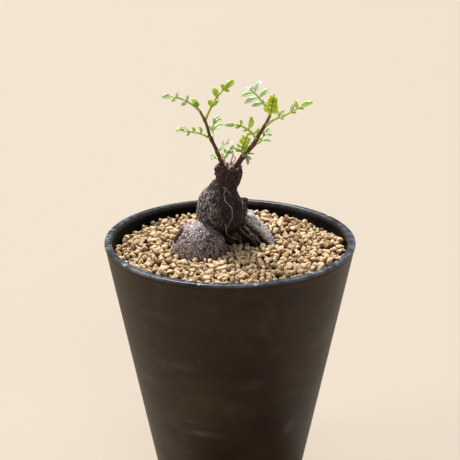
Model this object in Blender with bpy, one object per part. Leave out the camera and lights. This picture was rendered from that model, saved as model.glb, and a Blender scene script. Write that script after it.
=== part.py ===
"""Potted operculicarya: a knobbly caudex with two leafy shoots, standing in grit in a deep tapered pot.

Everything is modelled in millimetres, +Z up, and scaled to metres at the end.
The origin is the centre of the pot's foot. The front of the object looks along -Y.
"""

import math
import random
from collections import namedtuple

import bmesh
import bpy
from mathutils import Euler, Matrix, Vector, geometry, noise

MM = 0.001

# Pot
POT_HEIGHT = 100.0
RIM_RADIUS = 45.0
FOOT_RADIUS = 26.8
WALL = 2.6
LIP_DEPTH = 1.2
LIP_STEP = 0.2
EDGE = 0.4
BASE_UNDERSIDE = 2.0
BASE_THICKNESS = 2.6
POT_FLOOR = BASE_UNDERSIDE + BASE_THICKNESS
FOOT_RING = 2.4
DRAIN_RADIUS = 2.4
SLOT_COUNT = 6
SLOT_LENGTH = 9.0
SLOT_WIDTH = 1.8
SLOT_REACH = 13.0
POT_SIDES = 64

# Gaps: between the grit and the pot, or a leaf and its shoot, and round what stands in a hole
SEAT_GAP = 0.3
HOLE_GAP = 0.4

# Grit, whose grains are low ridges here
GRIT_LEVEL = 95.0
GRIT_SPACING = 4.0
GRIT_JITTER = 0.28
GRIT_CROWN = 0.85
GRIT_HOLLOW = -0.45
GRIT_UNEVEN = 0.3
GRIT_MARGIN = 0.45 * GRIT_SPACING
GRAIN_RIDGE = (0.16 * GRIT_SPACING, 0.26 * GRIT_SPACING)
GRIT_SEED = 11

# Shoots and leaves
SHOOT_SIDES = 8
SHOOT_STEPS = 3
RIB_SIDES = 6
RIB_STEPS = 2
RIB_RADIUS = 0.36
RIB_TIP_RADIUS = 0.3
TIP_LEAFLET_INSET = 0.3
BLADE_THICKNESS = 0.6
BLADE_FOOT = 0.33
BLADE_RATIO = 0.48
BLADE_CREASE = 0.25
SHARP_ANGLE = math.radians(35)

# Each piece's colour and roughness
FINISHES = {
    "pot": ("#2D2319", 0.5),
    "grit": ("#B29473", 0.95),
    "caudex": ("#4C3F3B", 0.75),
    "shoot_left": ("#5A3322", 0.55),
    "shoot_right": ("#4E3024", 0.55),
    "dry_stalk": ("#A97F69", 0.8),
    "leaf_left_top": ("#A4BE6A", 0.4),
    "leaf_left_high": ("#8DB83A", 0.4),
    "leaf_left_mid": ("#A9C492", 0.4),
    "leaf_left_rear": ("#7FA83C", 0.4),
    "leaf_left_low": ("#6E9A36", 0.4),
    "leaf_left_inner": ("#9FBF5C", 0.4),
    "leaf_crown": ("#86B03E", 0.4),
    "leaf_right_top": ("#8FB54A", 0.4),
    "leaf_right_young": ("#B6C83E", 0.4),
    "leaf_right_side": ("#9CBC6E", 0.4),
    "leaf_right_mid": ("#A3BF7A", 0.4),
    "leaf_right_rear": ("#7BA536", 0.4),
    "leaf_centre_young": ("#B2C646", 0.4),
    "leaf_right_low": ("#4F7A2C", 0.35),
}


def material(name):
    """A piece's own finish, with its colour turned from sRGB to linear."""
    colour, roughness = FINISHES[name]
    values = [int(colour[i : i + 2], 16) / 255 for i in (1, 3, 5)]
    linear = [v / 12.92 if v <= 0.04045 else ((v + 0.055) / 1.055) ** 2.4 for v in values]
    finish = bpy.data.materials.new(name)
    finish.use_nodes = True
    shader = finish.node_tree.nodes["Principled BSDF"]
    shader.inputs["Base Color"].default_value = (*linear, 1.0)
    shader.inputs["Roughness"].default_value = roughness
    shader.inputs["Metallic"].default_value = 0.0
    return finish


def add_object(name, bm):
    """A mesh object made from bm, in millimetres, with its faces pointing out."""
    bmesh.ops.recalc_face_normals(bm, faces=bm.faces)
    mesh = bpy.data.meshes.new(name)
    bm.to_mesh(mesh)
    bm.free()
    obj = bpy.data.objects.new(name, mesh)
    bpy.context.scene.collection.objects.link(obj)
    return obj


def set_in_place(obj, origin, parent):
    """Gives a finished piece its material, metres for units, its own origin and its parent."""
    origin = Vector(origin)
    mesh = obj.data
    mesh.materials.clear()
    mesh.materials.append(material(obj.name))
    mesh.transform(Matrix.Scale(MM, 4) @ Matrix.Translation(-origin))
    mesh.shade_smooth()
    mesh.set_sharp_from_angle(angle=SHARP_ANGLE)
    obj.parent = parent
    obj.location = origin * MM
    while parent:
        obj.location -= parent.location
        parent = parent.parent
    return obj


def apply_boolean(obj, others, operation):
    """Joins others to obj, or cuts them from it, and removes them."""
    helpers = bpy.data.collections.new("helpers")
    bpy.context.scene.collection.children.link(helpers)
    for other in others:
        bpy.context.scene.collection.objects.unlink(other)
        helpers.objects.link(other)
    boolean = obj.modifiers.new("Boolean", "BOOLEAN")
    boolean.operation = operation
    boolean.operand_type = "COLLECTION"
    boolean.collection = helpers
    bpy.context.view_layer.objects.active = obj
    bpy.ops.object.modifier_apply(modifier=boolean.name)
    for other in list(helpers.objects):
        bpy.data.objects.remove(other)
    bpy.data.collections.remove(helpers)


def turned(profile, sides):
    """A closed profile of (radius, height) points turned about the Z axis."""
    bm = bmesh.new()
    rings = []
    for step in range(sides):
        turn = math.tau * step / sides
        rings.append([bm.verts.new((r * math.cos(turn), r * math.sin(turn), z)) for r, z in profile])
    for near, far in zip(rings, rings[1:] + rings[:1]):
        for i in range(len(profile)):
            j = (i + 1) % len(profile)
            bm.faces.new((near[i], far[i], far[j], near[j]))
    return bm


def smooth_route(points, steps):
    """Points along a smooth curve through the given ones (Catmull-Rom), steps to each span."""
    knots = [Vector(p) for p in points]
    knots = [2 * knots[0] - knots[1], *knots, 2 * knots[-1] - knots[-2]]
    route = []
    for a, b, c, d in zip(knots, knots[1:], knots[2:], knots[3:]):
        for step in range(steps):
            t = step / steps
            square = 2 * a - 5 * b + 4 * c - d
            cube = 3 * b - a - 3 * c + d
            route.append((2 * b + (c - a) * t + square * t**2 + cube * t**3) / 2)
    return [*route, knots[-2]]


def point_along(values, place):
    """A value between evenly spaced values, at a place from 0 to 1."""
    index = place * (len(values) - 1)
    low = min(int(index), len(values) - 2)
    return values[low] + (values[low + 1] - values[low]) * (index - low)


def tangent(route, i):
    """The direction of a route at its point i."""
    return (route[min(i + 1, len(route) - 1)] - route[max(i - 1, 0)]).normalized()


def tube(route, radii, sides):
    """A round rod along route, whose radius runs evenly through radii, with closed ends."""
    bm = bmesh.new()
    side = tangent(route, 0).orthogonal().normalized()
    turns = [math.tau * k / sides for k in range(sides)]
    rings = []
    for i, point in enumerate(route):
        along = tangent(route, i)
        side = (side - along * side.dot(along)).normalized()
        other = along.cross(side)
        radius = point_along(radii, i / (len(route) - 1))
        outs = [side * math.cos(turn) + other * math.sin(turn) for turn in turns]
        rings.append([bm.verts.new(point + out * radius) for out in outs])
    for near, far in zip(rings, rings[1:]):
        for k in range(sides):
            bm.faces.new((near[k], near[(k + 1) % sides], far[(k + 1) % sides], far[k]))
    bm.faces.new(rings[0])
    bm.faces.new(rings[-1])
    return bm


def outer_radius(z):
    """The pot's outer radius at a height, on its straight tapered side."""
    top = POT_HEIGHT - LIP_DEPTH
    return FOOT_RADIUS + (RIM_RADIUS - LIP_STEP - FOOT_RADIUS) * z / top


def drain_slots():
    """Six slots in a ring, as one cutter."""
    bm = bmesh.new()
    for i in range(SLOT_COUNT):
        turn = Matrix.Rotation(math.tau * i / SLOT_COUNT, 4, "Z")
        shift = Matrix.Translation((SLOT_REACH, 0, POT_FLOOR / 2))
        size = Matrix.Diagonal((SLOT_LENGTH, SLOT_WIDTH, 2 * POT_FLOOR, 1))
        bmesh.ops.create_cube(bm, size=1, matrix=turn @ shift @ size)
    return add_object("drain_slots", bm)


def pot():
    """The tapered pot with its flat lip, foot ring, drain hole and drain slots."""
    lip_bottom = POT_HEIGHT - LIP_DEPTH
    inner_rim = RIM_RADIUS - WALL
    profile = [
        (DRAIN_RADIUS, BASE_UNDERSIDE),
        (FOOT_RADIUS - FOOT_RING - EDGE, BASE_UNDERSIDE),
        (FOOT_RADIUS - FOOT_RING, 0),
        (FOOT_RADIUS - EDGE, 0),
        (outer_radius(EDGE), EDGE),
        (outer_radius(lip_bottom), lip_bottom - LIP_STEP),
        (RIM_RADIUS, lip_bottom),
        (RIM_RADIUS, POT_HEIGHT - EDGE),
        (RIM_RADIUS - EDGE, POT_HEIGHT),
        (inner_rim + EDGE, POT_HEIGHT),
        (inner_rim, POT_HEIGHT - EDGE),
        (outer_radius(POT_FLOOR) - WALL, POT_FLOOR),
        (DRAIN_RADIUS, POT_FLOOR),
    ]
    body = add_object("pot", turned(profile, POT_SIDES))
    apply_boolean(body, [drain_slots()], "DIFFERENCE")
    return body


# The caudex is made of limbs, drawn through rings, and of rounded lumps.
# A ring: (x, y, z) of its centre, then its half sizes across the limb and along Y.
# grain and depth: the size of the bark's wrinkles along X, Y and Z, and their height.
Limb = namedtuple("Limb", "rings sides grain depth")
Lump = namedtuple("Lump", "centre radii tilt grain depth level")

LIMBS = {
    "trunk": Limb(
        (
            (-1.8, 5.4, 101.0, 3.4, 3.4),
            (-2.0, 4.8, 102.6, 6.0, 5.6),
            (-2.5, 4.2, 105.0, 8.1, 7.4),
            (-2.9, 3.8, 107.4, 8.9, 8.2),
            (-3.1, 3.6, 110.4, 8.8, 8.2),
            (-3.0, 3.4, 113.0, 7.7, 7.4),
            (-2.5, 3.2, 115.4, 6.1, 6.2),
            (-1.9, 3.1, 117.4, 4.8, 4.9),
            (-1.2, 3.0, 119.0, 4.0, 4.1),
            (-0.8, 3.0, 120.4, 4.2, 4.1),
            (-0.5, 3.0, 122.3, 4.6, 4.4),
            (-0.7, 3.0, 124.2, 4.5, 4.3),
            (-0.6, 3.0, 125.3, 3.7, 3.6),
            (-0.5, 3.0, 125.8, 2.2, 2.2),
        ),
        22,
        (2.2, 2.2, 12.0),
        0.55,
    ),
    "right_root": Limb(
        (
            (1.0, 8.6, 105.4, 3.0, 3.4),
            (4.0, 8.8, 103.4, 4.0, 4.8),
            (7.3, 9.0, 99.9, 4.2, 5.0),
            (10.9, 9.3, 95.6, 4.1, 5.2),
            (13.6, 9.8, 90.6, 3.6, 4.6),
            (15.2, 10.4, 85.6, 2.6, 3.2),
            (16.4, 11.0, 80.0, 1.0, 1.2),
        ),
        18,
        (9.0, 2.2, 9.0),
        0.9,
    ),
    "taproot": Limb(
        (
            (0.0, 9.0, 96.0, 4.6, 4.6),
            (0.0, 6.6, 84.0, 2.8, 2.8),
            (-0.6, 5.0, 72.0, 1.6, 1.6),
            (-1.2, 4.0, 62.0, 0.6, 0.6),
        ),
        8,
        (3.0, 3.0, 8.0),
        0.2,
    ),
    "left_side_root": Limb(
        ((-11.0, -1.0, 93.0, 3.2, 3.2), (-13.0, -4.0, 84.0, 2.2, 2.2), (-16.0, -8.0, 75.0, 0.7, 0.7)),
        8,
        (3.0, 3.0, 6.0),
        0.2,
    ),
    "rear_side_root": Limb(
        ((-5.0, 13.0, 93.0, 3.0, 3.0), (-7.0, 17.0, 85.0, 1.8, 1.8), (-8.0, 20.0, 78.0, 0.6, 0.6)),
        8,
        (3.0, 3.0, 6.0),
        0.2,
    ),
}
LUMPS = {
    "left_root": Lump((-11.2, -1.2, 95.9), (9.5, 9.3, 10.1), (0, 0, 20), (3.0, 3.0, 5.0), 0.4, 3),
    "left_rear_root": Lump((-14.2, 4.2, 95.2), (6.3, 5.4, 6.5), (0, -10, 0), (3.5, 3.5, 3.5), 0.4, 3),
    "core": Lump((1.0, 11.6, 97.0), (7.5, 5.6, 9.5), (0, 0, 0), (3.0, 3.0, 12.0), 0.5, 3),
    "rear_root": Lump((-5.0, 12.4, 97.0), (7.0, 6.0, 7.5), (12, 0, 0), (3.0, 3.0, 8.0), 0.6, 3),
    "rear_knob": Lump((4.7, 7.5, 111.3), (2.2, 2.2, 1.4), (0, 0, 0), (2.0, 2.0, 2.0), 0.2, 2),
    "left_shoulder": Lump((-3.8, 2.2, 124.6), (1.5, 1.8, 1.5), (0, 0, 0), (2.0, 2.0, 2.0), 0.3, 2),
    "right_shoulder": Lump((3.0, 2.2, 123.2), (1.4, 1.9, 2.2), (0, 0, 0), (2.0, 2.0, 2.0), 0.3, 2),
}
BURIED_LIMBS = ("right_root", "taproot", "left_side_root", "rear_side_root")
BURIED_LUMPS = ("left_root", "left_rear_root", "core", "rear_root")


def wrinkle(place, grain, depth):
    """The height of the bark's folds at a place: sharp valleys between rounded ridges."""
    return depth * (2 * abs(noise.noise(Vector(a / b for a, b in zip(place, grain)))) - 0.4)


def lump(spec, grow=0.0):
    """A ball stretched to spec's radii and wrinkled."""
    bm = bmesh.new()
    bmesh.ops.create_icosphere(bm, subdivisions=spec.level, radius=1)
    turn = Euler([math.radians(a) for a in spec.tilt]).to_matrix()
    centre = Vector(spec.centre)
    for v in bm.verts:
        out = v.co.normalized()
        place = Vector(a * b for a, b in zip(out, spec.radii))
        fold = wrinkle(place + centre, spec.grain, spec.depth)
        v.co = turn @ (place + out * (fold + grow)) + centre
    return bm


def limb(spec, grow=0.0):
    """A tapering limb drawn through spec's rings and wrinkled, with its ends closed."""
    rings = [Vector(r[:3]) for r in spec.rings]
    sizes = [Vector((r[3], r[4], 0)) for r in spec.rings]
    bm = bmesh.new()
    made = []
    for i, (centre, size) in enumerate(zip(rings, sizes)):
        along = tangent(rings, i)
        if i in (0, len(rings) - 1):
            centre = centre + along * (grow if i else -grow)
        deep = (Vector((0, 1, 0)) - along * along.y).normalized()
        across = deep.cross(along)
        ring = []
        for k in range(spec.sides):
            turn = math.tau * k / spec.sides
            out = across * math.cos(turn) + deep * math.sin(turn)
            place = centre + across * size.x * math.cos(turn) + deep * size.y * math.sin(turn)
            ring.append(bm.verts.new(place + out * (wrinkle(place, spec.grain, spec.depth) + grow)))
        made.append(ring)
    for near, far in zip(made, made[1:]):
        for k in range(spec.sides):
            after = (k + 1) % spec.sides
            bm.faces.new((near[k], near[after], far[after], far[k]))
    bm.faces.new(made[0])
    bm.faces.new(made[-1])
    bmesh.ops.triangulate(bm, faces=bm.faces, quad_method="FIXED")
    return bm


# A bare woody shoot: its route from inside the caudex to its tip, then its radii from foot to tip
Shoot = namedtuple("Shoot", "route radii")

SHOOTS = {
    "shoot_left": Shoot(
        (
            (-1.7, 3.0, 122.0),
            (-2.6, 3.0, 126.0),
            (-3.6, 2.8, 128.6),
            (-5.1, 2.4, 132.3),
            (-6.9, 2.0, 136.3),
            (-8.3, 1.5, 141.2),
            (-10.4, 0.8, 145.8),
        ),
        (0.95, 0.85, 0.75, 0.66, 0.6, 0.52, 0.45),
    ),
    "shoot_right": Shoot(
        (
            (1.6, 3.4, 122.0),
            (3.0, 3.5, 126.3),
            (5.6, 3.6, 130.1),
            (8.3, 3.9, 133.2),
            (10.0, 4.2, 136.3),
            (12.3, 4.7, 139.8),
            (14.0, 5.0, 143.3),
        ),
        (1.05, 1.0, 0.9, 0.8, 0.7, 0.6, 0.5),
    ),
    "dry_stalk": Shoot(
        ((0.0, 1.2, 122.4), (-0.4, 1.0, 125.4), (0.5, 1.5, 128.2), (1.1, 1.9, 130.0), (0.4, 2.2, 131.4)),
        (0.42, 0.36, 0.32, 0.3, 0.3),
    ),
}


def shoot(name):
    """A woody shoot or stalk, tapering along its route."""
    spec = SHOOTS[name]
    return add_object(name, tube(smooth_route(spec.route, SHOOT_STEPS), spec.radii, SHOOT_SIDES))


def shoot_socket(name):
    """The hole that a shoot's foot stands in, along its first two spans."""
    spec = SHOOTS[name]
    route = smooth_route(spec.route, SHOOT_STEPS)[: 2 * SHOOT_STEPS + 1]
    route[0] = route[0] - tangent(route, 0) * HOLE_GAP
    radii = (spec.radii[0] + HOLE_GAP, spec.radii[2] + HOLE_GAP)
    return add_object("socket", tube(route, radii, SHOOT_SIDES))


def caudex():
    """The swollen trunk, neck and exposed roots, grown as one piece."""
    body = add_object("caudex", limb(LIMBS["trunk"]))
    grown = [add_object(name, limb(LIMBS[name])) for name in BURIED_LIMBS]
    grown += [add_object(name, lump(spec)) for name, spec in LUMPS.items()]
    apply_boolean(body, grown, "UNION")
    apply_boolean(body, [shoot_socket(name) for name in SHOOTS], "DIFFERENCE")
    return body


def grain_centres(radius, draw):
    """Plan points of the grains, on a jittered honeycomb."""
    row = GRIT_SPACING * math.sqrt(3) / 2
    shake = GRIT_JITTER * GRIT_SPACING
    count = int(radius / row) + 2
    centres = []
    for j in range(-count, count + 1):
        for i in range(-count, count + 1):
            x = (i + 0.5 * (j % 2)) * GRIT_SPACING + draw.uniform(-shake, shake)
            y = j * row + draw.uniform(-shake, shake)
            if math.hypot(x, y) < radius - GRIT_MARGIN:
                centres.append(Vector((x, y)))
    return centres


def grit_points(radius):
    """The grit's top: a hollow between each three grains, and the two ends of a ridge on each grain."""
    draw = random.Random(GRIT_SEED)
    centres = grain_centres(radius, draw)
    points = []
    for a, b, c in geometry.delaunay_2d_cdt(centres, [], [], 0, 1e-6)[2]:
        middle = (centres[a] + centres[b] + centres[c]) / 3
        low = GRIT_LEVEL + GRIT_HOLLOW + draw.uniform(-0.5, 0.5) * GRIT_UNEVEN
        points.append((middle.x, middle.y, low))
    for centre in centres:
        turn = draw.uniform(0, math.tau)
        half_ridge = Vector((math.cos(turn), math.sin(turn))) * draw.uniform(*GRAIN_RIDGE)
        top = GRIT_LEVEL + GRIT_CROWN + draw.uniform(-1, 1) * GRIT_UNEVEN
        for end in (centre - half_ridge, centre + half_ridge):
            points.append((end.x, end.y, top + draw.uniform(-0.5, 0.5) * GRIT_UNEVEN))
    return points


def grit_hole():
    """The space that the caudex's buried parts take up in the grit."""
    first, *rest = [limb(LIMBS[name], HOLE_GAP) for name in BURIED_LIMBS]
    rest += [lump(LUMPS[name], HOLE_GAP) for name in BURIED_LUMPS]
    hole = add_object("hole", first)
    apply_boolean(hole, [add_object("hole_part", bm) for bm in rest], "UNION")
    return hole


def grit():
    """The grit that fills the pot: a body to the pot's inside, with its top raised into grains."""
    floor = POT_FLOOR + SEAT_GAP
    radius = outer_radius(GRIT_LEVEL) - WALL - SEAT_GAP
    foot = outer_radius(floor) - WALL - SEAT_GAP
    turns = [math.tau * k / POT_SIDES for k in range(POT_SIDES)]
    points = [(radius * math.cos(a), radius * math.sin(a), GRIT_LEVEL) for a in turns]
    points += grit_points(radius)
    edges = [(k, (k + 1) % POT_SIDES) for k in range(POT_SIDES)]
    flat = [Vector(p[:2]) for p in points]
    plan, _, faces, sources, _, _ = geometry.delaunay_2d_cdt(flat, edges, [], 0, 1e-6)
    bm = bmesh.new()
    top = [bm.verts.new((p.x, p.y, points[source[0]][2])) for p, source in zip(plan, sources)]
    for face in faces:
        bm.faces.new([top[i] for i in face])
    base = [bm.verts.new((foot * math.cos(a), foot * math.sin(a), floor)) for a in turns]
    for near, far in edges:
        bm.faces.new((base[near], base[far], top[far], top[near]))
    bm.faces.new(base[::-1])
    body = add_object("grit", bm)
    apply_boolean(body, [grit_hole()], "DIFFERENCE")
    return body


# A leaf: the shoot that it grows from and the place along it, the rib's route beyond the shoot, the way
# that the leaf's upper side looks, then (place along the rib, left leaflet, right leaflet) for each pair,
# and the leaflet at the tip. Left is as seen from above the leaf, looking along its rib.
# A leaflet: its length, its angle from the rib, its angle out of the leaf's plane, and its width to its
# length where that isn't the usual one.
Leaf = namedtuple("Leaf", "shoot at route face pairs tip")

LEAVES = {
    "leaf_left_top": Leaf(
        "shoot_left",
        1.0,
        ((-13.0, -0.8, 148.4), (-16.7, -3.2, 150.9), (-19.7, -5.4, 152.1)),
        (0, -0.8, 0.6),
        (
            (0.16, (2.8, -68, 25, 0.6), (3.4, 40, 10, 0.66)),
            (0.52, (2.6, 60, 0), (2.2, 94, 10)),
            (0.86, (2.2, 46, 0), (2.3, 117, 5)),
        ),
        (3.4, 15, 0),
    ),
    "leaf_left_high": Leaf(
        "shoot_left",
        0.87,
        ((-6.9, 3.0, 145.9), (-4.6, 5.2, 149.6), (-2.2, 7.4, 152.1)),
        (0.1, -0.9, 0.3),
        (
            (0.40, (2.5, 46, 10, 0.7), (3.1, 20, 20, 0.4)),
            (0.66, (3.7, 50, 5, 0.56), (1.9, 50, -50)),
            (0.97, (2.2, 52, 10, 0.7), (2.2, 56, 0, 0.6)),
        ),
        (5.0, -9, 0, 0.4),
    ),
    "leaf_left_mid": Leaf(
        "shoot_left",
        0.646,
        ((-10.0, -0.4, 138.0), (-12.9, -3.0, 139.3), (-15.0, -5.0, 139.9)),
        (0, -0.6, 0.8),
        (
            (0.33, (2.0, 60, 35), (2.6, 62, 25, 0.66)),
            (0.60, (2.0, 60, 30), (2.1, 84, 20, 0.75)),
            (0.78, (1.8, 30, -40), (5.0, 13, 12, 0.3)),
        ),
        (5.0, 3, 2, 0.32),
    ),
    "leaf_left_rear": Leaf(
        "shoot_left",
        0.61,
        ((-6.2, 5.8, 137.0), (-6.0, 7.8, 139.0), (-5.2, 9.4, 140.4)),
        (0, -0.9, 0.4),
        (
            (0.42, (3.0, 55, 10), (4.4, 52, 0, 0.34)),
            (0.78, (2.4, 20, 15), (3.4, 30, 5, 0.36)),
        ),
        (2.6, -16, 0),
    ),
    "leaf_left_low": Leaf(
        "shoot_left",
        0.27,
        ((-4.2, 4.9, 127.7), (-5.3, 5.8, 127.9)),
        (0, -0.5, 0.8),
        ((0.70, (2.1, 50, 10), (2.1, 50, 10)),),
        (2.2, 0, 0),
    ),
    "leaf_left_inner": Leaf(
        "shoot_left",
        0.43,
        ((-2.9, 0.8, 132.8), (-1.9, -1.0, 134.4), (-0.7, -2.8, 135.3)),
        (0.1, -0.7, 0.7),
        (
            (0.50, (1.8, 60, 25), (2.3, 60, 10)),
            (0.86, (2.0, 60, 20), (2.6, 65, 10)),
        ),
        (2.6, 0, -5),
    ),
    "leaf_crown": Leaf(
        "shoot_left",
        0.30,
        ((-1.4, 0.8, 129.6), (-0.8, 0.1, 131.2), (0.0, -0.5, 132.4)),
        (0.1, -0.9, 0.4),
        ((0.62, (2.3, 45, 20), (2.1, 45, 0)),),
        (2.2, 0, 0),
    ),
    "leaf_right_top": Leaf(
        "shoot_right",
        1.0,
        ((13.2, 6.4, 145.0), (11.7, 7.6, 147.0), (9.5, 9.6, 149.4), (7.8, 11.0, 150.7)),
        (0, -0.9, 0.4),
        (
            (0.50, (3.9, 66, 0, 0.35), (1.8, 50, -20)),
            (0.67, (5.3, 70, 0, 0.32), (4.8, 88, 5, 0.34)),
            (0.88, (4.6, 58, 5, 0.34), (4.8, 72, 5, 0.3)),
            (1.00, (3.0, 62, 5), (2.2, 60, 10)),
        ),
        (2.2, 0, 0),
    ),
    "leaf_right_young": Leaf(
        "shoot_right",
        1.0,
        ((14.5, 2.9, 147.1), (14.9, 1.2, 150.2)),
        (0.0, -1.0, 0.1),
        tuple(
            (0.24 + 0.15 * k, (3.3 - 0.2 * k, 55 - 3 * k, 15), (3.1 - 0.2 * k, 52 - 3 * k, 15))
            for k in range(6)
        ),
        (2.0, 0, 10),
    ),
    "leaf_right_side": Leaf(
        "shoot_right",
        0.82,
        ((15.8, 3.0, 142.5), (18.5, 1.8, 143.8), (22.0, -0.2, 146.2), (23.9, -1.4, 147.6)),
        (-0.1, -0.8, 0.6),
        (
            (0.36, (3.5, 38, 10, 0.4), (1.8, 25, -30)),
            (0.42, (2.8, 112, 10, 0.42), (2.2, 50, 50)),
            (0.67, (2.8, 50, 10, 0.42), (1.8, 25, -30)),
            (0.76, (2.3, 100, 10, 0.5), (2.0, 50, 50)),
            (0.93, (2.9, 98, 10, 0.62), (1.8, 25, -30)),
        ),
        (5.0, -7, 0, 0.36),
    ),
    "leaf_right_mid": Leaf(
        "shoot_right",
        0.586,
        ((8.4, 1.0, 137.0), (6.9, -0.6, 139.1), (4.0, -2.8, 141.3), (1.9, -4.0, 142.1)),
        (0, -0.9, 0.4),
        (
            (0.34, (1.8, 40, -30), (2.9, 84, 10, 0.5)),
            (0.56, (1.8, 40, -30), (4.5, 72, 5, 0.5)),
            (0.78, (2.2, 32, -10), (2.1, 66, 10, 0.55)),
        ),
        (4.0, 12, 0, 0.34),
    ),
    "leaf_right_rear": Leaf(
        "shoot_right",
        0.50,
        ((10.5, 6.6, 133.3), (11.5, 8.4, 134.6), (12.6, 10.0, 135.7)),
        (0, -0.9, 0.4),
        (
            (0.40, (2.0, 50, 10), (3.9, 50, 0, 0.34)),
            (0.80, (2.4, 40, 10), (3.2, 44, 0, 0.36)),
        ),
        (3.2, -6, 0),
    ),
    "leaf_centre_young": Leaf(
        "shoot_right",
        0.36,
        ((4.3, 0.6, 132.5), (5.1, -1.0, 135.2), (5.9, -2.6, 137.7)),
        (-0.1, -0.95, 0.2),
        tuple(
            (0.36 + 0.15 * k, (2.7 - 0.15 * k, 46, 15), (2.6 - 0.15 * k, 50, 15))
            for k in range(5)
        ),
        (1.8, 0, 5),
    ),
    "leaf_right_low": Leaf(
        "shoot_right",
        0.27,
        ((5.0, 0.3, 130.1), (5.4, -1.2, 130.3)),
        (0, 0.1, 1.0),
        (
            (0.46, (3.4, 72, 8, 0.4), (4.2, 72, 38, 0.36)),
            (0.86, (2.4, 55, -25), (6.2, 84, 36, 0.28)),
        ),
        (3.0, 25, -62),
    ),
}


def leaf_route(leaf):
    """The rib's route: it starts just clear of the shoot's side, or just beyond its tip."""
    spec = SHOOTS[leaf.shoot]
    path = smooth_route(spec.route, SHOOT_STEPS)
    foot = point_along(path, leaf.at)
    radius = point_along(spec.radii, leaf.at)
    along = tangent(path, round(leaf.at * (len(path) - 1)))
    aim = (Vector(leaf.route[0]) - foot).normalized()
    if leaf.at == 1.0:
        start = foot + (along + aim).normalized() * (radius + SEAT_GAP)
    else:
        away = (aim - along * aim.dot(along)).normalized()
        start = foot + away * (radius + SEAT_GAP + RIB_RADIUS * abs(aim.dot(along)))
    return smooth_route([start, *leaf.route], RIB_STEPS)


def blade(foot, along, face, length, ratio):
    """One leaflet: a pointed oval with a ridged middle, creased up towards its edges."""
    side = face.cross(along).normalized()
    half = length * ratio / 2
    thick = BLADE_THICKNESS / 2
    # place along the leaflet, half width, half thickness
    stations = (
        (0.0, BLADE_FOOT / 2, BLADE_FOOT / 2),
        (0.34, half, thick),
        (0.74, 0.8 * half, thick),
    )
    bm = bmesh.new()
    rings = []
    for place, width, depth in stations:
        centre = foot + along * length * place
        lift = face * BLADE_CREASE * width
        offsets = (side * width + lift, face * depth, lift - side * width, -face * depth)
        rings.append([bm.verts.new(centre + offset) for offset in offsets])
    for near, far in zip(rings, rings[1:]):
        for k in range(4):
            bm.faces.new((near[k], near[(k + 1) % 4], far[(k + 1) % 4], far[k]))
    bm.faces.new(rings[0])
    end = bm.verts.new(foot + along * length + face * 0.1 * half)
    for k in range(4):
        bm.faces.new((rings[-1][k], rings[-1][(k + 1) % 4], end))
    bmesh.ops.triangulate(bm, faces=bm.faces)
    return bm


def leaflet(route, face, place, side, spec):
    """One leaflet standing on the rib at a place, to its left (1) or right (-1)."""
    length, spread, lift, *ratio = spec
    foot = point_along(route, place)
    rib = tangent(route, round(place * (len(route) - 1)))
    up = (face - rib * face.dot(rib)).normalized()
    left = up.cross(rib)
    spread, lift = math.radians(spread), math.radians(lift)
    out = rib * math.cos(spread) + left * side * math.sin(spread)
    along = out * math.cos(lift) + up * math.sin(lift)
    upper = up * math.cos(lift) - out * math.sin(lift)
    return blade(foot, along, upper, length, ratio[0] if ratio else BLADE_RATIO)


def leaf(name):
    """A feathered leaf: its rib with leaflets in pairs and one at the tip, joined in one solid."""
    spec = LEAVES[name]
    route = leaf_route(spec)
    face = Vector(spec.face)
    rib = add_object(name, tube(route, (RIB_RADIUS, RIB_TIP_RADIUS), RIB_SIDES))
    blades = [add_object("leaflet", leaflet(route, face, 1.0 - TIP_LEAFLET_INSET / len(route), 1, spec.tip))]
    for place, left, right in spec.pairs:
        blades.append(add_object("leaflet", leaflet(route, face, place, 1, left)))
        blades.append(add_object("leaflet", leaflet(route, face, place, -1, right)))
    apply_boolean(rib, blades, "UNION")
    return rib


def main():
    for obj in list(bpy.data.objects):
        bpy.data.objects.remove(obj)
    plant = bpy.data.objects.new("potted_plant", None)
    bpy.context.scene.collection.objects.link(plant)
    set_in_place(pot(), (0, 0, 0), plant)
    set_in_place(grit(), (0, 0, POT_FLOOR + SEAT_GAP), plant)
    trunk = set_in_place(caudex(), (0, 0, GRIT_LEVEL), plant)
    shoots = {name: set_in_place(shoot(name), spec.route[0], trunk) for name, spec in SHOOTS.items()}
    for name, spec in LEAVES.items():
        set_in_place(leaf(name), leaf_route(spec)[0], shoots[spec.shoot])


main()
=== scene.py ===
"""Looks for the potted operculicarya: a young caudex tree in a deep plastic pot of fired clay grit.

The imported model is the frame. A finer piece stands for each of its nodes and keeps that node's form.
Sizes are in millimetres, +Z up, with the origin at the centre of the pot's foot, and add_piece turns
them to metres.
"""

import math
import random
from collections import defaultdict, namedtuple
from functools import partial

import bmesh
import bpy
import numpy as np
from mathutils import Euler, Matrix, Vector, kdtree, noise
from mathutils.bvhtree import BVHTree


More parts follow.
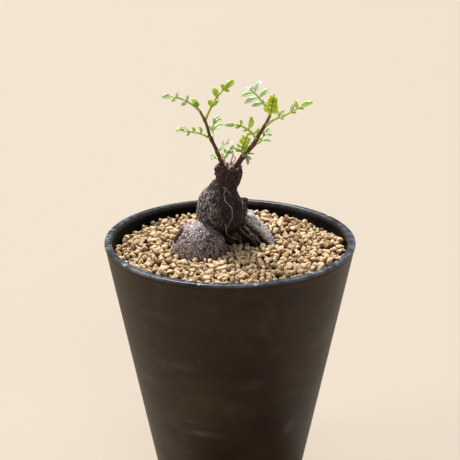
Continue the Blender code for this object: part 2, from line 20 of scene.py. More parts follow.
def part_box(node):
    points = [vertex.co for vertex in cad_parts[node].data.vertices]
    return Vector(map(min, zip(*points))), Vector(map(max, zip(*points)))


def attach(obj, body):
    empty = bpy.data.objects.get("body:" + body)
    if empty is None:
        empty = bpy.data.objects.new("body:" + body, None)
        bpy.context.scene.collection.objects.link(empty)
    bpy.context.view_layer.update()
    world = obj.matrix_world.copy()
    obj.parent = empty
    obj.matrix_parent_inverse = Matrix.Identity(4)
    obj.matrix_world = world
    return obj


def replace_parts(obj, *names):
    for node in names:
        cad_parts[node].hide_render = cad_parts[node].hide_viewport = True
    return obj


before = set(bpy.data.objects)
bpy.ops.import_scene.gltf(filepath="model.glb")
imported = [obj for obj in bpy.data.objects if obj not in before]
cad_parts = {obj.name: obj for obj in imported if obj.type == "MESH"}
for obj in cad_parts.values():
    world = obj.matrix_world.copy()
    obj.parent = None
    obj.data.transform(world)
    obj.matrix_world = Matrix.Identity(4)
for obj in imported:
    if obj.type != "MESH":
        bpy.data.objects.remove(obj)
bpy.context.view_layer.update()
MM = 0.001

# Pot
POT_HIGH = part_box("pot")[1] / MM
RIM_RADIUS = POT_HIGH.x
POT_HEIGHT = POT_HIGH.z
FOOT_RADIUS = 26.8
WALL = 2.6
LIP_DEPTH = 1.2
LIP_STEP = 0.2
LIP_ROUND = 0.55
BASE_UNDERSIDE = 2.0
POT_FLOOR = 4.6
FOOT_RING = 2.4
FOOT_ROUND = 0.5
DRAIN_RADIUS = 2.4
SLOT_COUNT = 6
SLOT_SIZE = (9.0, 1.8, 10.0)
SLOT_REACH = 13.0
POT_SIDES = 480
WALL_ROWS = 56
POT_SEED = 3

# Nicks in the lip's two edges: how many, their half widths in radians, their depth, how far they reach
# from the edge, and how pale they are
NICK_COUNT = 26
NICK_HALF_WIDTHS = (0.008, 0.022)
NICK_DEPTH = 0.12
NICK_REACH = 0.5
NICK_PALENESS = 0.8

# Painted highlights on the lip, pale bands that stand in for reflections on its edges, by how far in from its
# outer edge: where a band ends and where it is full
OUTER_HIGHLIGHT_BAND = (2.2, 0.9)
INNER_HIGHLIGHT_BAND = (1.0, 2.1)
INNER_HIGHLIGHT_SHARE = 0.4
# How far the bands stray, and over what length
HIGHLIGHT_DRIFT = 0.5
HIGHLIGHT_PATCH = 9.0

# Grit: the bed's level, the heap's top, and the loose grains that lie between them
BED_LEVEL = 92.6
BED_GAP = 0.3
BED_RINGS = 40
BED_SIDES = 120
BED_BUMP = 0.5
BED_BUMP_SIZE = 1.6
GRIT_TOP = 96.3
TOP_UNEVEN = (-0.3, 0.5)
GRAIN_RADII = (0.78, 1.84)
# More small grains than large ones (a beta distribution's two numbers)
GRAIN_MIX = (2.0, 2.6)
GRAIN_LIMIT = 6400
GRAIN_TRIES = 22
# How far a grain tries to roll in one step, as shares of its radius
GRAIN_ROLL = (0.1, 0.9)
GRAIN_SEED = 29
# Grains sink a little into each other, into the pot and into the bark, as shares of their radii
GRAIN_SINK = 0.93
GRAIN_HUG = 0.86
GRAIN_SWELL = 1.2
GRAIN_CORNERS = 14
GRAIN_STRETCH = (0.76, 1.3)
GRAIN_CORNER_REACH = (0.88, 1.1)
GRAIN_EDGE_WEAR = 0.11
# Crumbs on a grain: their height and how many to a radius
GRAIN_CRUMBS = ((0.13, 1.8), (0.14, 5.0))
# Painted shade on the grains' undersides, and depths below the heap's top where painted shade in a gap starts
# and is darkest
UNDERSIDE_SHADE = 0.9
GRAIN_UNDERSIDE = (-0.45, 0.75)
GAP_SHADE_DEPTHS = (-0.4, 0.9)
# Grains whose middle is this far above the bed show, and get rounder edges
TOP_GRAINS = 1.7
# Where the heap lies higher: x, y, how far it reaches, and by how much
MOUNDS = ((3.0, 40.0, 17.0, 1.8), (42.0, 3.0, 9.0, 1.4), (11.0, 17.0, 7.0, 1.5))

# Caudex: the skins' cells, and the bark on them
BARK_CELL = 0.215
LOBE_CELL = 0.165
# The left root's dried skin: the size of its small pads along X, Y and Z
WRINKLE = (0.85, 0.85, 1.15)
FOLD_SHARE = 0.6
BARK_SEED = 11
LIMB_STEPS = 10
LUMP_DETAIL = 6
SKIN_SMOOTHING = 3
CRUST_EDGE = 0.44
# How far the crust stands out, and how far a groove and a tear are sunk
CRUST_RISE = 0.25
GROOVE_SINK = 0.45
TEAR_SINK = 0.3
NECK_KNOBS_FROM = 118.5
NECK_COLOUR_FROM = 117.6

# Shoots and leaves
SHOOT_SIDES = 20
SHOOT_STEPS = 14
# Swelling where a leaf leaves a shoot: its share of the radius and its reach as a share of the length
JOINT_SWELL = (0.22, 0.02)
# The collar near a shoot's foot: its share of the radius, its place and its reach along the shoot
COLLAR = (0.3, 0.12, 0.05)
# Knots on a shoot: their share of the radius and their size
KNOTS = ((0.1, 0.9), (0.05, 0.35))
RIB_SIDES = 10
RIB_FLATNESS = 0.7
RIB_RADII = (0.48, 0.3)
RIB_FOOT_RADII = (0.5, 0.54, 0.52, 0.5)
BLADE_ROWS = 14
BLADE_COLUMNS = 5
BLADE_THICKNESS = 0.3
BLADE_RATIO = 0.48
BLADE_CURLS = (0.02, 0.16)
LEAFLET_GROWTH = 1.08
AGE_SPREAD = 0.15
PLANT_SEED = 5

# Fine roots: how far they are sunk into the bark, as a share of their radius, and how far they wander
STRAND_SIDES = 8
STRAND_SINK = 0.2
STRAND_WANDER = 0.34
SCALE_SIDES = 12
SCALE_FLATNESS = 0.6
THREAD_SIDES = 10
THREAD_WANDER = 0.12
LINE_STEPS = 8

# The floor: where it starts to turn up, and how high its edge stands
FLOOR_REACH = 9000.0
FLOOR_EDGE = 1100.0
FLOOR_ROWS = 10
FLOOR_SIDES = 96

# The camera's place and what it looks at, in metres, and its lens
CAMERA_PLACE = (0.0, -0.31162, 0.21453)
CAMERA_TARGET = (0.0, 0.0, 0.10249)
SENSOR = 36.0
FOCAL_LENGTH = 72.03

# Even daylight: the place that it comes from, in metres, its width in degrees, its strength and its colour
DAYLIGHT = {
    "window": ((-1.1, 3.0, 5.2), 13.0, 6.3, "#FFFAF2"),
    "sky": ((0.4, 0.2, 2.8), 46.0, 0.72, "#ECF0FF"),
    "side_fill": ((-2.4, -0.4, 0.9), 30.0, 1.38, "#FFF4EA"),
    "front_fill": ((1.0, -2.4, 1.9), 28.0, 0.4, "#FFF5EA"),
}
LIT_PLACE = (0.0, 0.0, 0.09)
ROOM_COLOUR = "#EDE4DA"
ROOM_LIGHT = 0.07


def linear(hex_colour):
    """An sRGB hex colour as linear red, green, blue and alpha."""
    values = [int(hex_colour[i : i + 2], 16) / 255 for i in (1, 3, 5)]
    return (*[v / 12.92 if v <= 0.04045 else ((v + 0.055) / 1.055) ** 2.4 for v in values], 1.0)


def plug(node, inputs):
    """Gives each input of a node a value, an sRGB hex colour or another node's output."""
    for socket, value in inputs.items():
        if isinstance(value, bpy.types.NodeSocket):
            node.id_data.links.new(value, node.inputs[socket])
        else:
            node.inputs[socket].default_value = linear(value) if isinstance(value, str) else value


def add_node(tree, kind, inputs, output=0, **settings):
    """Adds a node with its settings and inputs, and gives one of its outputs."""
    node = tree.nodes.new("ShaderNode" + kind)
    for name, value in settings.items():
        setattr(node, name, value)
    plug(node, inputs)
    return node.outputs[output]


def start_finish(name):
    """A new material, add_node for its tree, and its shader."""
    finish = bpy.data.materials.new(name)
    finish.use_nodes = True
    tree = finish.node_tree
    return finish, partial(add_node, tree), tree.nodes["Principled BSDF"]


def patches_of(add, size, detail, stretch=(1, 1, 1), distortion=0.0):
    """Soft random patches about size millimetres across, longer along an axis where stretch is over 1."""
    scale = [1 / (size * MM * s) for s in stretch]
    place = add("Mapping", {"Vector": add("TexCoord", {}, "Object"), "Scale": scale})
    inputs = {"Vector": place, "Scale": 1.0, "Detail": detail, "Distortion": distortion}
    return add("TexNoise", inputs, "Fac")


def share_of(add, source, *span):
    """A number over the surface, from a node's output or the name of a number that the mesh carries.

    A span is a low and a high value, and the numbers that they turn into where those aren't 0 and 1.
    """
    if isinstance(source, str):
        source = add("Attribute", {}, "Fac", attribute_name=source)
    return add("MapRange", dict(enumerate((source, *span))), clamp=True) if span else source


def coats(add, colour, *layers):
    """Colours laid over a first one. A layer is where it lies, its colour, and a span as in share_of."""
    for source, over, *span in layers:
        colour = add("Mix", {0: share_of(add, source, *span), 6: colour, 7: over}, 2, data_type="RGBA")
    return colour


def moulded_polypropylene():
    """Injection-moulded polypropylene: black-brown, matt, with faint flow bands, scuffs and a worn, nicked
    lip. Pale bands on the lip's edges are painted highlights, and the inside is painted near-black as shade.
    """
    finish, add, shader = start_finish("moulded_polypropylene")
    rim = share_of(add, "rim")
    patches = patches_of(add, 26.0, 5.0)
    specks = patches_of(add, 1.3, 2.0)
    wear_and_sheen = patches_of(add, 2.4, 4.0)
    streaks = patches_of(add, 1.6, 6.0, (4, 4, 1), 0.8)
    streaky = share_of(add, streaks, 0.36, 0.6)
    rubbed = add("Math", {0: share_of(add, "scuff"), 1: streaky}, operation="MULTIPLY")
    lip_highlight_pattern = share_of(add, wear_and_sheen, 0.36, 0.66, 0.3, 1.0)
    colour = coats(
        add,
        "#201204",
        (patches_of(add, 7.0, 3.0, (14, 14, 1)), "#291807", 0.35, 0.65),
        (patches, "#3A2915", 0.45, 0.7, 0.0, 0.65),
        (patches_of(add, 12.0, 5.0, (1.3, 1.3, 1), 1.2), "#45362A", 0.5, 0.75, 0.0, 0.45),
        (rubbed, "#66574A"),
        (specks, "#6B5C4A", 0.76, 0.8, 0.0, 0.35),
        # The lip's bluish black is partly a painted reflection of the cool sky
        (rim, "#0D1016"),
        # Pale bluish bands along the lip's edges: painted highlights that stand in for reflections of the
        # light
        (add("Math", {0: share_of(add, "frost"), 1: lip_highlight_pattern}, operation="MULTIPLY"), "#6F7886"),
        ("nick", "#A9ADB3"),
        # The inside is painted near-black: painted shade on the inner wall
        ("inside", "#04060A"),
    )
    wall = share_of(add, patches, 0.3, 0.7, 0.44, 0.56)
    dusty = add("Math", {0: rubbed, 1: 0.15, 2: wall}, operation="MULTIPLY_ADD")
    polish = share_of(add, wear_and_sheen, 0.4, 0.6, -0.24, -0.14)
    rim_relief = add("Math", {0: rim, 1: wear_and_sheen}, operation="MULTIPLY")
    relief = add("Math", {0: rim_relief, 1: 2.0, 2: specks}, operation="MULTIPLY_ADD")
    inputs = {
        "Base Color": colour,
        "Roughness": add("Math", {0: rim, 1: polish, 2: dusty}, operation="MULTIPLY_ADD"),
        "IOR": 1.49,
        # The inside's specular level is turned down with its painted shade, so that it shows no reflection
        "Specular IOR Level": share_of(add, "inside", 0.0, 1.0, 0.25, 0.06),
        "Normal": add("Bump", {"Height": relief, "Distance": 0.1 * MM, "Strength": 0.3}),
    }
    plug(shader, inputs)
    return finish


def fired_clay():
    """Baked clay grit: dull tan lumps, each of its own tone, pitted, with painted shade in the gaps between
    them and on their undersides.
    """
    finish, add, shader = start_finish("fired_clay")
    pits = patches_of(add, 0.5, 5.0)
    colour = coats(
        add,
        "#B79A78",
        ("tone", "#E4CBA5", 0.0, 0.5),
        ("tone", "#75573A", 0.09, 0.13, 1.0, 0.0),
        ("tone", "#EAD4B1", 0.5, 0.95),
        ("tone", "#E0C8BC", 0.96, 0.97),
        (patches_of(add, 0.9, 4.0), "#92683B", 0.45, 0.72, 0.0, 0.45),
        (pits, "#573A1D", 0.34, 0.46, 0.6, 0.0),
        # Painted shade in the gaps between grains, on their undersides and over the whole bed
        ("hollow", "#331803"),
    )
    inputs = {
        "Base Color": colour,
        "Roughness": 0.95,
        "IOR": 1.5,
        "Specular IOR Level": 0.2,
        "Normal": add("Bump", {"Height": pits, "Distance": 0.25 * MM, "Strength": 1.0}),
    }
    plug(shader, inputs)
    return finish


def caudex_bark():
    """Living bark stretched over the swollen stem: corky ridges, dark cracks, waxy where it is tight, with
    pale painted glints on the trunk's lit upper left.
    """
    finish, add, shader = start_finish("caudex_bark")
    ridge = share_of(add, "ridge")
    fibres = patches_of(add, 0.5, 4.0, (1, 1, 4), 0.5)
    mottle = patches_of(add, 2.6, 5.0)
    raised = share_of(add, add("Math", {0: ridge, 1: fibres}, operation="ADD"), 0.9, 1.5)
    swollen = coats(
        add,
        "#36272A",
        (ridge, "#B9AEB2", -0.1, 1.0),
        (mottle, "#CBC0C6", 0.5, 0.7, 0.0, 0.45),
        (mottle, "#553433", 0.28, 0.42, 0.6, 0.0),
    )
    neck = coats(add, "#0A0302", (ridge, "#331D17", -0.3, 0.9), (fibres, "#705C52", 0.56, 0.66, 0.0, 0.5))
    grooved = coats(
        add, "#0A0606", ("fibre", "#4C4342", -0.1, 0.7), ("fibre", "#B0A8A4", 0.7, 0.94, 0.0, 0.85)
    )
    specks = patches_of(add, 0.8, 5.0)
    dry = coats(add, "#909094", ("fibre", "#CFD0D4", -0.7, 0.3), (specks, "#1E1816", 0.34, 0.46, 0.95, 0.0))
    colour = coats(
        add,
        "#090405",
        (ridge, "#35282C", 0.0, 1.1),
        (fibres, "#868187", 0.57, 0.67, 0.0, 0.42),
        # Pale flecks on the raised bark of the trunk's upper left: painted glints where the light falls
        (add("Math", {0: share_of(add, "weather"), 1: raised}, operation="MULTIPLY"), "#A6A1A4"),
        ("lobe", swollen),
        ("neck", neck),
        ("root", grooved),
        ("crust", dry),
        ("shade", "#0A0605"),
        ("peel", "#380E09"),
    )
    dull = add("Math", {0: share_of(add, "shade"), 1: share_of(add, "peel")}, operation="MAXIMUM")
    dull = add("Math", {0: share_of(add, "crust"), 1: dull}, operation="MAXIMUM")
    waxy = share_of(add, mottle, 0.3, 0.7, 0.3, 0.5)
    relief = add("Math", {0: fibres, 1: patches_of(add, 0.22, 2.0)}, operation="ADD")
    inputs = {
        "Base Color": colour,
        "Roughness": add("Math", {0: dull, 1: 0.45, 2: waxy}, operation="MULTIPLY_ADD"),
        "IOR": 1.45,
        "Specular IOR Level": 0.36,
        "Normal": add("Bump", {"Height": relief, "Distance": 0.16 * MM, "Strength": 0.8}),
    }
    plug(shader, inputs)
    return finish


def woody_skin(name, roughness, lines, dark, pale, full, relief, *layers):
    """Thin woody skin with fine lines, from dark to pale.

    lines: their width, their detail, and how many times longer than wide they are.
    full: the value of the lines' pattern where the pale colour is whole.
    relief: its depth in millimetres and its strength.
    """
    finish, add, shader = start_finish(name)
    width, detail, length = lines
    depth, strength = relief
    grain = patches_of(add, width, detail, (1, 1, length))
    inputs = {
        "Base Color": coats(add, dark, (grain, pale, 0.4, full), *layers),
        "Roughness": roughness,
        "IOR": 1.45,
        "Normal": add("Bump", {"Height": grain, "Distance": depth * MM, "Strength": strength}),
    }
    plug(shader, inputs)
    return finish


def bare_root():
    """Fine roots that dried on the bark: thin grey-tan skin, matt and a little flaky."""
    return woody_skin("bare_root", 0.7, (0.4, 4.0, 1), "#645C5E", "#A9A0A2", 0.62, (0.08, 0.7))


def young_bark():
    """The shoots' first bark: thin, red-brown, faintly glossy, finely lined, and greener to the tip."""
    green = ("along", "#7A6B38", 0.72, 1.0, 0.0, 0.85)
    red = ("along", "#45190F", 0.34, 0.1, 0.0, 0.6)
    lines, relief = (0.25, 3.0, 6), (0.08, 0.7)
    return woody_skin("young_bark", 0.42, lines, "#3A1D14", "#6E4231", 0.65, relief, green, red)


def bud_scale():
    """Papery scales round the buds: thin, red-brown and a little shiny, with paler fine streaks."""
    return woody_skin("bud_scale", 0.38, (0.3, 3.0, 3), "#43201A", "#87574A", 0.65, (0.08, 0.7))


def dead_stalk():
    """A dried leaf stalk: bleached, papery and pinkish tan."""
    return woody_skin("dead_stalk", 0.75, (0.3, 3.0, 4), "#BFA292", "#F0E2D8", 0.62, (0.06, 0.6))


def leaf_blade():
    """A living leaf: thin and waxy, with paler veins, a bluish-white painted sheen here and there, yellower
    while young.
    """
    finish, add, shader = start_finish("leaf_blade")
    patches = patches_of(add, 1.4, 3.0)
    sheen_patches = share_of(add, patches, 0.35, 0.55, 0.55, 1.0)
    # Side veins: waves along the leaflet that lean towards its tip
    along = share_of(add, "along")
    leaning = add("Math", {0: share_of(add, "across"), 1: -0.25, 2: along}, operation="MULTIPLY_ADD")
    waves = add("Math", {0: leaning, 1: 44.0}, operation="MULTIPLY")
    vein = add("Math", {0: waves}, operation="SINE")
    colour = coats(
        add,
        "#C0C534",
        ("age", "#8FB534", 0.0, 0.5),
        ("age", "#255222", 0.5, 1.0),
        (patches, "#74A62C", 0.4, 0.68, 0.0, 0.35),
        # Bluish-white painted sheen: painted highlights on the leaflets
        (add("Math", {0: share_of(add, "bloom"), 1: sheen_patches}, operation="MULTIPLY"), "#BCD6CA"),
        (vein, "#C2D07A", 0.75, 1.0, 0.0, 0.18),
        ("across", "#BFD06A", 0.05, 0.12, 0.5, 0.0),
    )
    relief = add("Math", {0: vein, 1: 0.15, 2: patches}, operation="MULTIPLY_ADD")
    inputs = {
        "Base Color": colour,
        "Roughness": 0.3,
        "IOR": 1.45,
        "Subsurface Weight": 0.6,
        "Subsurface Radius": (0.8, 1.0, 0.3),
        "Subsurface Scale": 0.9 * MM,
        "Coat Weight": 0.25,
        "Coat Roughness": 0.2,
        "Normal": add("Bump", {"Height": relief, "Distance": 0.1 * MM, "Strength": 0.4}),
    }
    plug(shader, inputs)
    return finish


def painted_board():
    """The floor's pale board: matt paint, even all over."""
    finish, _, shader = start_finish("painted_board")
    plug(shader, {"Base Color": "#ABA398", "Roughness": 0.7, "IOR": 1.45, "Specular IOR Level": 0.1})
    return finish


def place_object(name, data):
    """A new object in the scene."""
    obj = bpy.data.objects.new(name, data)
    bpy.context.scene.collection.objects.link(obj)
    return obj


def add_piece(name, points, faces, finish, values=()):
    """A shown piece made of points in millimetres and faces. values are numbers kept at each point."""
    mesh = bpy.data.meshes.new(name)
    points = np.asarray(points, np.float32)
    counts = np.array([len(face) for face in faces], np.int32)
    mesh.vertices.add(len(points))
    mesh.vertices.foreach_set("co", (points * MM).ravel())
    mesh.loops.add(int(counts.sum()))
    mesh.loops.foreach_set("vertex_index", np.concatenate([np.asarray(face, np.int32) for face in faces]))
    mesh.polygons.add(len(counts))
    mesh.polygons.foreach_set("loop_start", np.concatenate(([0], np.cumsum(counts)[:-1])).astype(np.int32))
    mesh.update(calc_edges=True)
    mesh.validate()
    mesh.materials.append(finish)
    mesh.shade_smooth()
    for key, numbers in dict(values).items():
        kept = mesh.attributes.new(key, "FLOAT", "POINT")
        kept.data.foreach_set("value", np.asarray(numbers, np.float32))
    piece = place_object(name, mesh)
    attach(piece, "root")
    return piece


def stand_for(piece, node):
    """The piece takes a CAD node's place."""
    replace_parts(piece, node)


def apply_modifier(obj, kind, **settings):
    """Changes an object's mesh with one of Blender's modifiers."""
    modifier = obj.modifiers.new(kind.title(), kind)
    for name, value in settings.items():
        setattr(modifier, name, value)
    bpy.context.view_layer.objects.active = obj
    bpy.ops.object.modifier_apply(modifier=modifier.name)


def smooth_step(value, low, high):
    """0 below low, 1 above high and an easy rise between."""
    t = np.clip((np.asarray(value, float) - low) / (high - low), 0, 1)
    return t * t * (3 - 2 * t)


def smooth_route(points, steps):
    """Points along a smooth curve through the given ones (Catmull-Rom), steps to each span."""
    knots = [np.array(p, float) for p in points]
    knots = [2 * knots[0] - knots[1], *knots, 2 * knots[-1] - knots[-2]]
    route = []
    for a, b, c, d in zip(knots, knots[1:], knots[2:], knots[3:]):
        for step in range(steps):
            t = step / steps
            square = 2 * a - 5 * b + 4 * c - d
            cube = 3 * b - a - 3 * c + d
            route.append((2 * b + (c - a) * t + square * t**2 + cube * t**3) / 2)
    return np.array([*route, knots[-2]])


def point_along(values, place):
    """A value between evenly spaced values, at a place from 0 to 1."""
    index = place * (len(values) - 1)
    low = min(int(index), len(values) - 2)
    return values[low] + (values[low + 1] - values[low]) * (index - low)


def unit(vector):
    """A vector's direction."""
    return vector / np.linalg.norm(vector)


def tangent(route, i):
    """The direction of a route at its point i."""
    return unit(route[min(i + 1, len(route) - 1)] - route[max(i - 1, 0)])


def grid_faces(rows, columns, closed=True):
    """Faces between rows of columns points, joined round where closed."""
    faces = []
    for i in range(rows - 1):
        for k in range(columns if closed else columns - 1):
            a, b = i * columns + k, i * columns + (k + 1) % columns
            faces.append((a, b, b + columns, a + columns))
    return faces


def rod_faces(rows, sides):
    """Faces round a rod and over its two ends."""
    ends = [tuple(range(sides))[::-1], tuple(range(sides * (rows - 1), sides * rows))]
    return grid_faces(rows, sides) + ends


def ring(radius, z, sides):
    """Points round the pot's axis."""
    turns = [math.tau * k / sides for k in range(sides)]
    return [(radius * math.cos(turn), radius * math.sin(turn), z) for turn in turns]


def join_part(points, faces, part_points, part_faces):
    """Adds a part's points and faces to a piece's."""
    faces += [tuple(i + len(points) for i in face) for face in part_faces]
    points += list(part_points)


def tube(route, radii, sides, flat=1.0, up=(0.0, 1.0, 0.0)):
    """A rod along route with closed ends: its points and faces. flat squeezes it along up."""
    points = []
    for i, centre in enumerate(route):
        along = tangent(route, i)
        side = unit(np.cross(along, up))
        over = np.cross(along, side)
        for k in range(sides):
            turn = math.tau * k / sides
            points.append(centre + radii[i] * (side * math.cos(turn) + over * flat * math.sin(turn)))
    return points, rod_faces(len(route), sides)


def outer_radius(z):
    """The pot's outer radius at a height, on its straight tapered side."""
    return FOOT_RADIUS + (RIM_RADIUS - LIP_STEP - FOOT_RADIUS) * z / (POT_HEIGHT - LIP_DEPTH)


def inner_radius(z):
    """The pot's inner radius at a height."""
    low = outer_radius(POT_FLOOR) - WALL
    return low + (RIM_RADIUS - WALL - low) * (z - POT_FLOOR) / (POT_HEIGHT - POT_FLOOR)


def rounded(centre, radius, first, last, steps):
    """Points of an arc, with its angles in degrees."""
    angles = [math.radians(first + (last - first) * i / steps) for i in range(steps + 1)]
    return [(centre[0] + radius * math.cos(a), centre[1] + radius * math.sin(a)) for a in angles]


def pot_profile():
    """The wall's section: from the drain hole under the base, up outside, over the lip and down inside."""
    lip_bottom = POT_HEIGHT - LIP_DEPTH
    ring_inside = FOOT_RADIUS - FOOT_RING
    profile = [(DRAIN_RADIUS, BASE_UNDERSIDE), (ring_inside - 0.8, BASE_UNDERSIDE)]
    profile += rounded((ring_inside + FOOT_ROUND, FOOT_ROUND), FOOT_ROUND, 180, 270, 4)
    profile += rounded((FOOT_RADIUS - FOOT_ROUND, FOOT_ROUND), FOOT_ROUND, 270, 350, 4)
    profile += [(outer_radius(z), z) for z in np.linspace(1.2, lip_bottom - 0.9, WALL_ROWS)]
    # A fine groove under the lip: how far inward and how far below the lip
    groove = outer_radius(lip_bottom)
    for inward, below in ((0, 0.5), (0.12, 0.25), (0.06, 0.05)):
        profile.append((groove - inward, lip_bottom - below))
    profile += rounded((RIM_RADIUS - 0.25, lip_bottom + 0.25), 0.25, -80, 0, 3)
    profile += rounded((RIM_RADIUS - LIP_ROUND, POT_HEIGHT - LIP_ROUND), LIP_ROUND, 0, 90, 6)
    profile += rounded((RIM_RADIUS - WALL + LIP_ROUND, POT_HEIGHT - LIP_ROUND), LIP_ROUND, 90, 180, 5)
    profile += [(inner_radius(z), z) for z in (98.0, 95.0, 90.0, 70.0, 40.0, 8.0)]
    return profile + [(inner_radius(POT_FLOOR) - 1.0, POT_FLOOR), (DRAIN_RADIUS, POT_FLOOR)]


# Scuffs on the pot: angle round it from the front in degrees, height, half size round it and up, strength
SCUFFS = (
    (-16, 38.5, 9.0, 1.3, 0.9), (-24, 43.0, 4.0, 0.8, 0.8), (38, 37.0, 3.0, 4.2, 0.7),
    (10, 60.0, 8.0, 1.8, 0.35), (-30, 66.0, 12.0, 2.2, 0.3), (48, 70.0, 9.0, 2.5, 0.35),
    (-52, 55.0, 10.0, 3.0, 0.35), (110, 52.0, 12.0, 2.0, 0.5), (160, 70.0, 6.0, 3.0, 0.4),
    (215, 34.0, 9.0, 1.6, 0.5), (262, 64.0, 5.0, 4.0, 0.4),
)

# Stretches of the lip's outer edge with a painted highlight: angle round it from the front in degrees, half
# length in degrees, strength
LIP_HIGHLIGHTS = (
    (78, 34, 1.0), (40, 26, 0.9), (8, 22, 0.6), (-40, 24, 0.7), (-85, 18, 0.5), (148, 26, 0.8),
    (205, 20, 0.6), (245, 14, 0.8),
)


def degrees_between(turn, angle):
    """How far a turn is past an angle, in degrees from -180 to 180."""
    return (turn - angle + 180) % 360 - 180


def lip_highlight_at(turn):
    """How strong the painted highlight on the lip's outer edge is at an angle from the front, in degrees."""
    wear = (strength * (1 - abs(degrees_between(turn, angle)) / half) for angle, half, strength in LIP_HIGHLIGHTS)
    return max(0.0, *wear) ** 0.6


def scuffing(point):
    """How rubbed the pot's wall is at a point."""
    turn = math.degrees(math.atan2(point[0], -point[1]))
    reach = math.hypot(point[0], point[1])
    most = 0.0
    for angle, height, half_round, half_up, strength in SCUFFS:
        aside = math.radians(degrees_between(turn, angle)) * reach
        far = math.hypot(aside / half_round, (point[2] - height) / half_up)
        most = max(most, strength * (1 - far))
    return most


def nick_share(turn, side, nicks):
    """How deep one edge of the lip is nicked at an angle, as a share of a nick's depth."""
    most = 0.0
    for angle, half_width, nick_side in nicks:
        if nick_side == side:
            aside = abs((turn - angle + math.pi) % math.tau - math.pi)
            most = max(most, 1 - aside / half_width)
    return most


def make_pot(finish):
    """The pot, turned from its section, with its drain slots cut and its lip nicked."""
    draw = random.Random(POT_SEED)
    nicks = []
    for _ in range(NICK_COUNT):
        nicks.append((draw.uniform(0, math.tau), draw.uniform(*NICK_HALF_WIDTHS), draw.choice((-1, 1))))
    profile = pot_profile()
    points = []
    values = defaultdict(list)
    for i in range(POT_SIDES):
        turn = math.tau * i / POT_SIDES
        for r, z in profile:
            side = 1 if r > RIM_RADIUS - WALL / 2 else -1
            lip = float(smooth_step(z, POT_HEIGHT - LIP_ROUND, POT_HEIGHT - 0.1))
            edge = min(abs(r - RIM_RADIUS + 0.2), abs(r - RIM_RADIUS + WALL - 0.2))
            nick = nick_share(turn, side, nicks) if lip > 0 and edge < NICK_REACH else 0.0
            dent = NICK_DEPTH * nick * lip
            reach = r - side * dent
            point = (reach * math.cos(turn), reach * math.sin(turn), z - dent)
            points.append(point)
            rim = float(smooth_step(z, POT_HEIGHT - 1.0, POT_HEIGHT - 0.6))
            # The lip's pale bands are painted highlights, laid along its inner and outer edges
            inward = RIM_RADIUS - r + HIGHLIGHT_DRIFT * noise.noise(Vector(point) / HIGHLIGHT_PATCH)
            inner_highlight = INNER_HIGHLIGHT_SHARE * float(smooth_step(inward, *INNER_HIGHLIGHT_BAND))
            outer_highlight = lip_highlight_at(math.degrees(turn) + 90) * float(smooth_step(inward, *OUTER_HIGHLIGHT_BAND))
            values["rim"].append(rim)
            values["frost"].append(rim * max(inner_highlight, outer_highlight))
            values["nick"].append(NICK_PALENESS * nick * lip)
            values["scuff"].append(scuffing(point) if r >= outer_radius(z) - 0.1 else 0.0)
            # The inner wall, which gets painted shade
            inner_wall_in_shade = POT_FLOOR <= z < POT_HEIGHT - LIP_ROUND and r < outer_radius(z) - WALL / 2
            values["inside"].append(float(inner_wall_in_shade))
    columns = len(profile)
    faces = []
    for i in range(POT_SIDES):
        here, there = i * columns, (i + 1) % POT_SIDES * columns
        for k in range(columns):
            n = (k + 1) % columns
            faces.append((here + k, there + k, there + n, here + n))
    pot = add_piece("pot_shell", points, faces, finish, values)
    cut_slots(pot)
    stand_for(pot, "pot")


def cut_slots(pot):
    """Six drain slots in a ring through the base."""
    bm = bmesh.new()
    for i in range(SLOT_COUNT):
        turn = Matrix.Rotation(math.tau * i / SLOT_COUNT, 4, "Z")
        shift = Matrix.Translation((SLOT_REACH * MM, 0, POT_FLOOR / 2 * MM))
        size = Matrix.Diagonal([side * MM for side in SLOT_SIZE] + [1])
        bmesh.ops.create_cube(bm, size=1, matrix=turn @ shift @ size)
    mesh = bpy.data.meshes.new("slots")
    bm.to_mesh(mesh)
    bm.free()
    cutter = place_object("slots", mesh)
    apply_modifier(pot, "BOOLEAN", operation="DIFFERENCE", object=cutter)
    bpy.data.objects.remove(cutter)


# The caudex is made of limbs, drawn through rings, and of rounded lumps.
# A ring: (x, y, z) of its centre, then its half sizes across the limb and along Y.
# grain and depth: the size of the folds along X, Y and Z, and their height.
Limb = namedtuple("Limb", "rings sides grain depth")
Lump = namedtuple("Lump", "centre radii tilt grain depth")

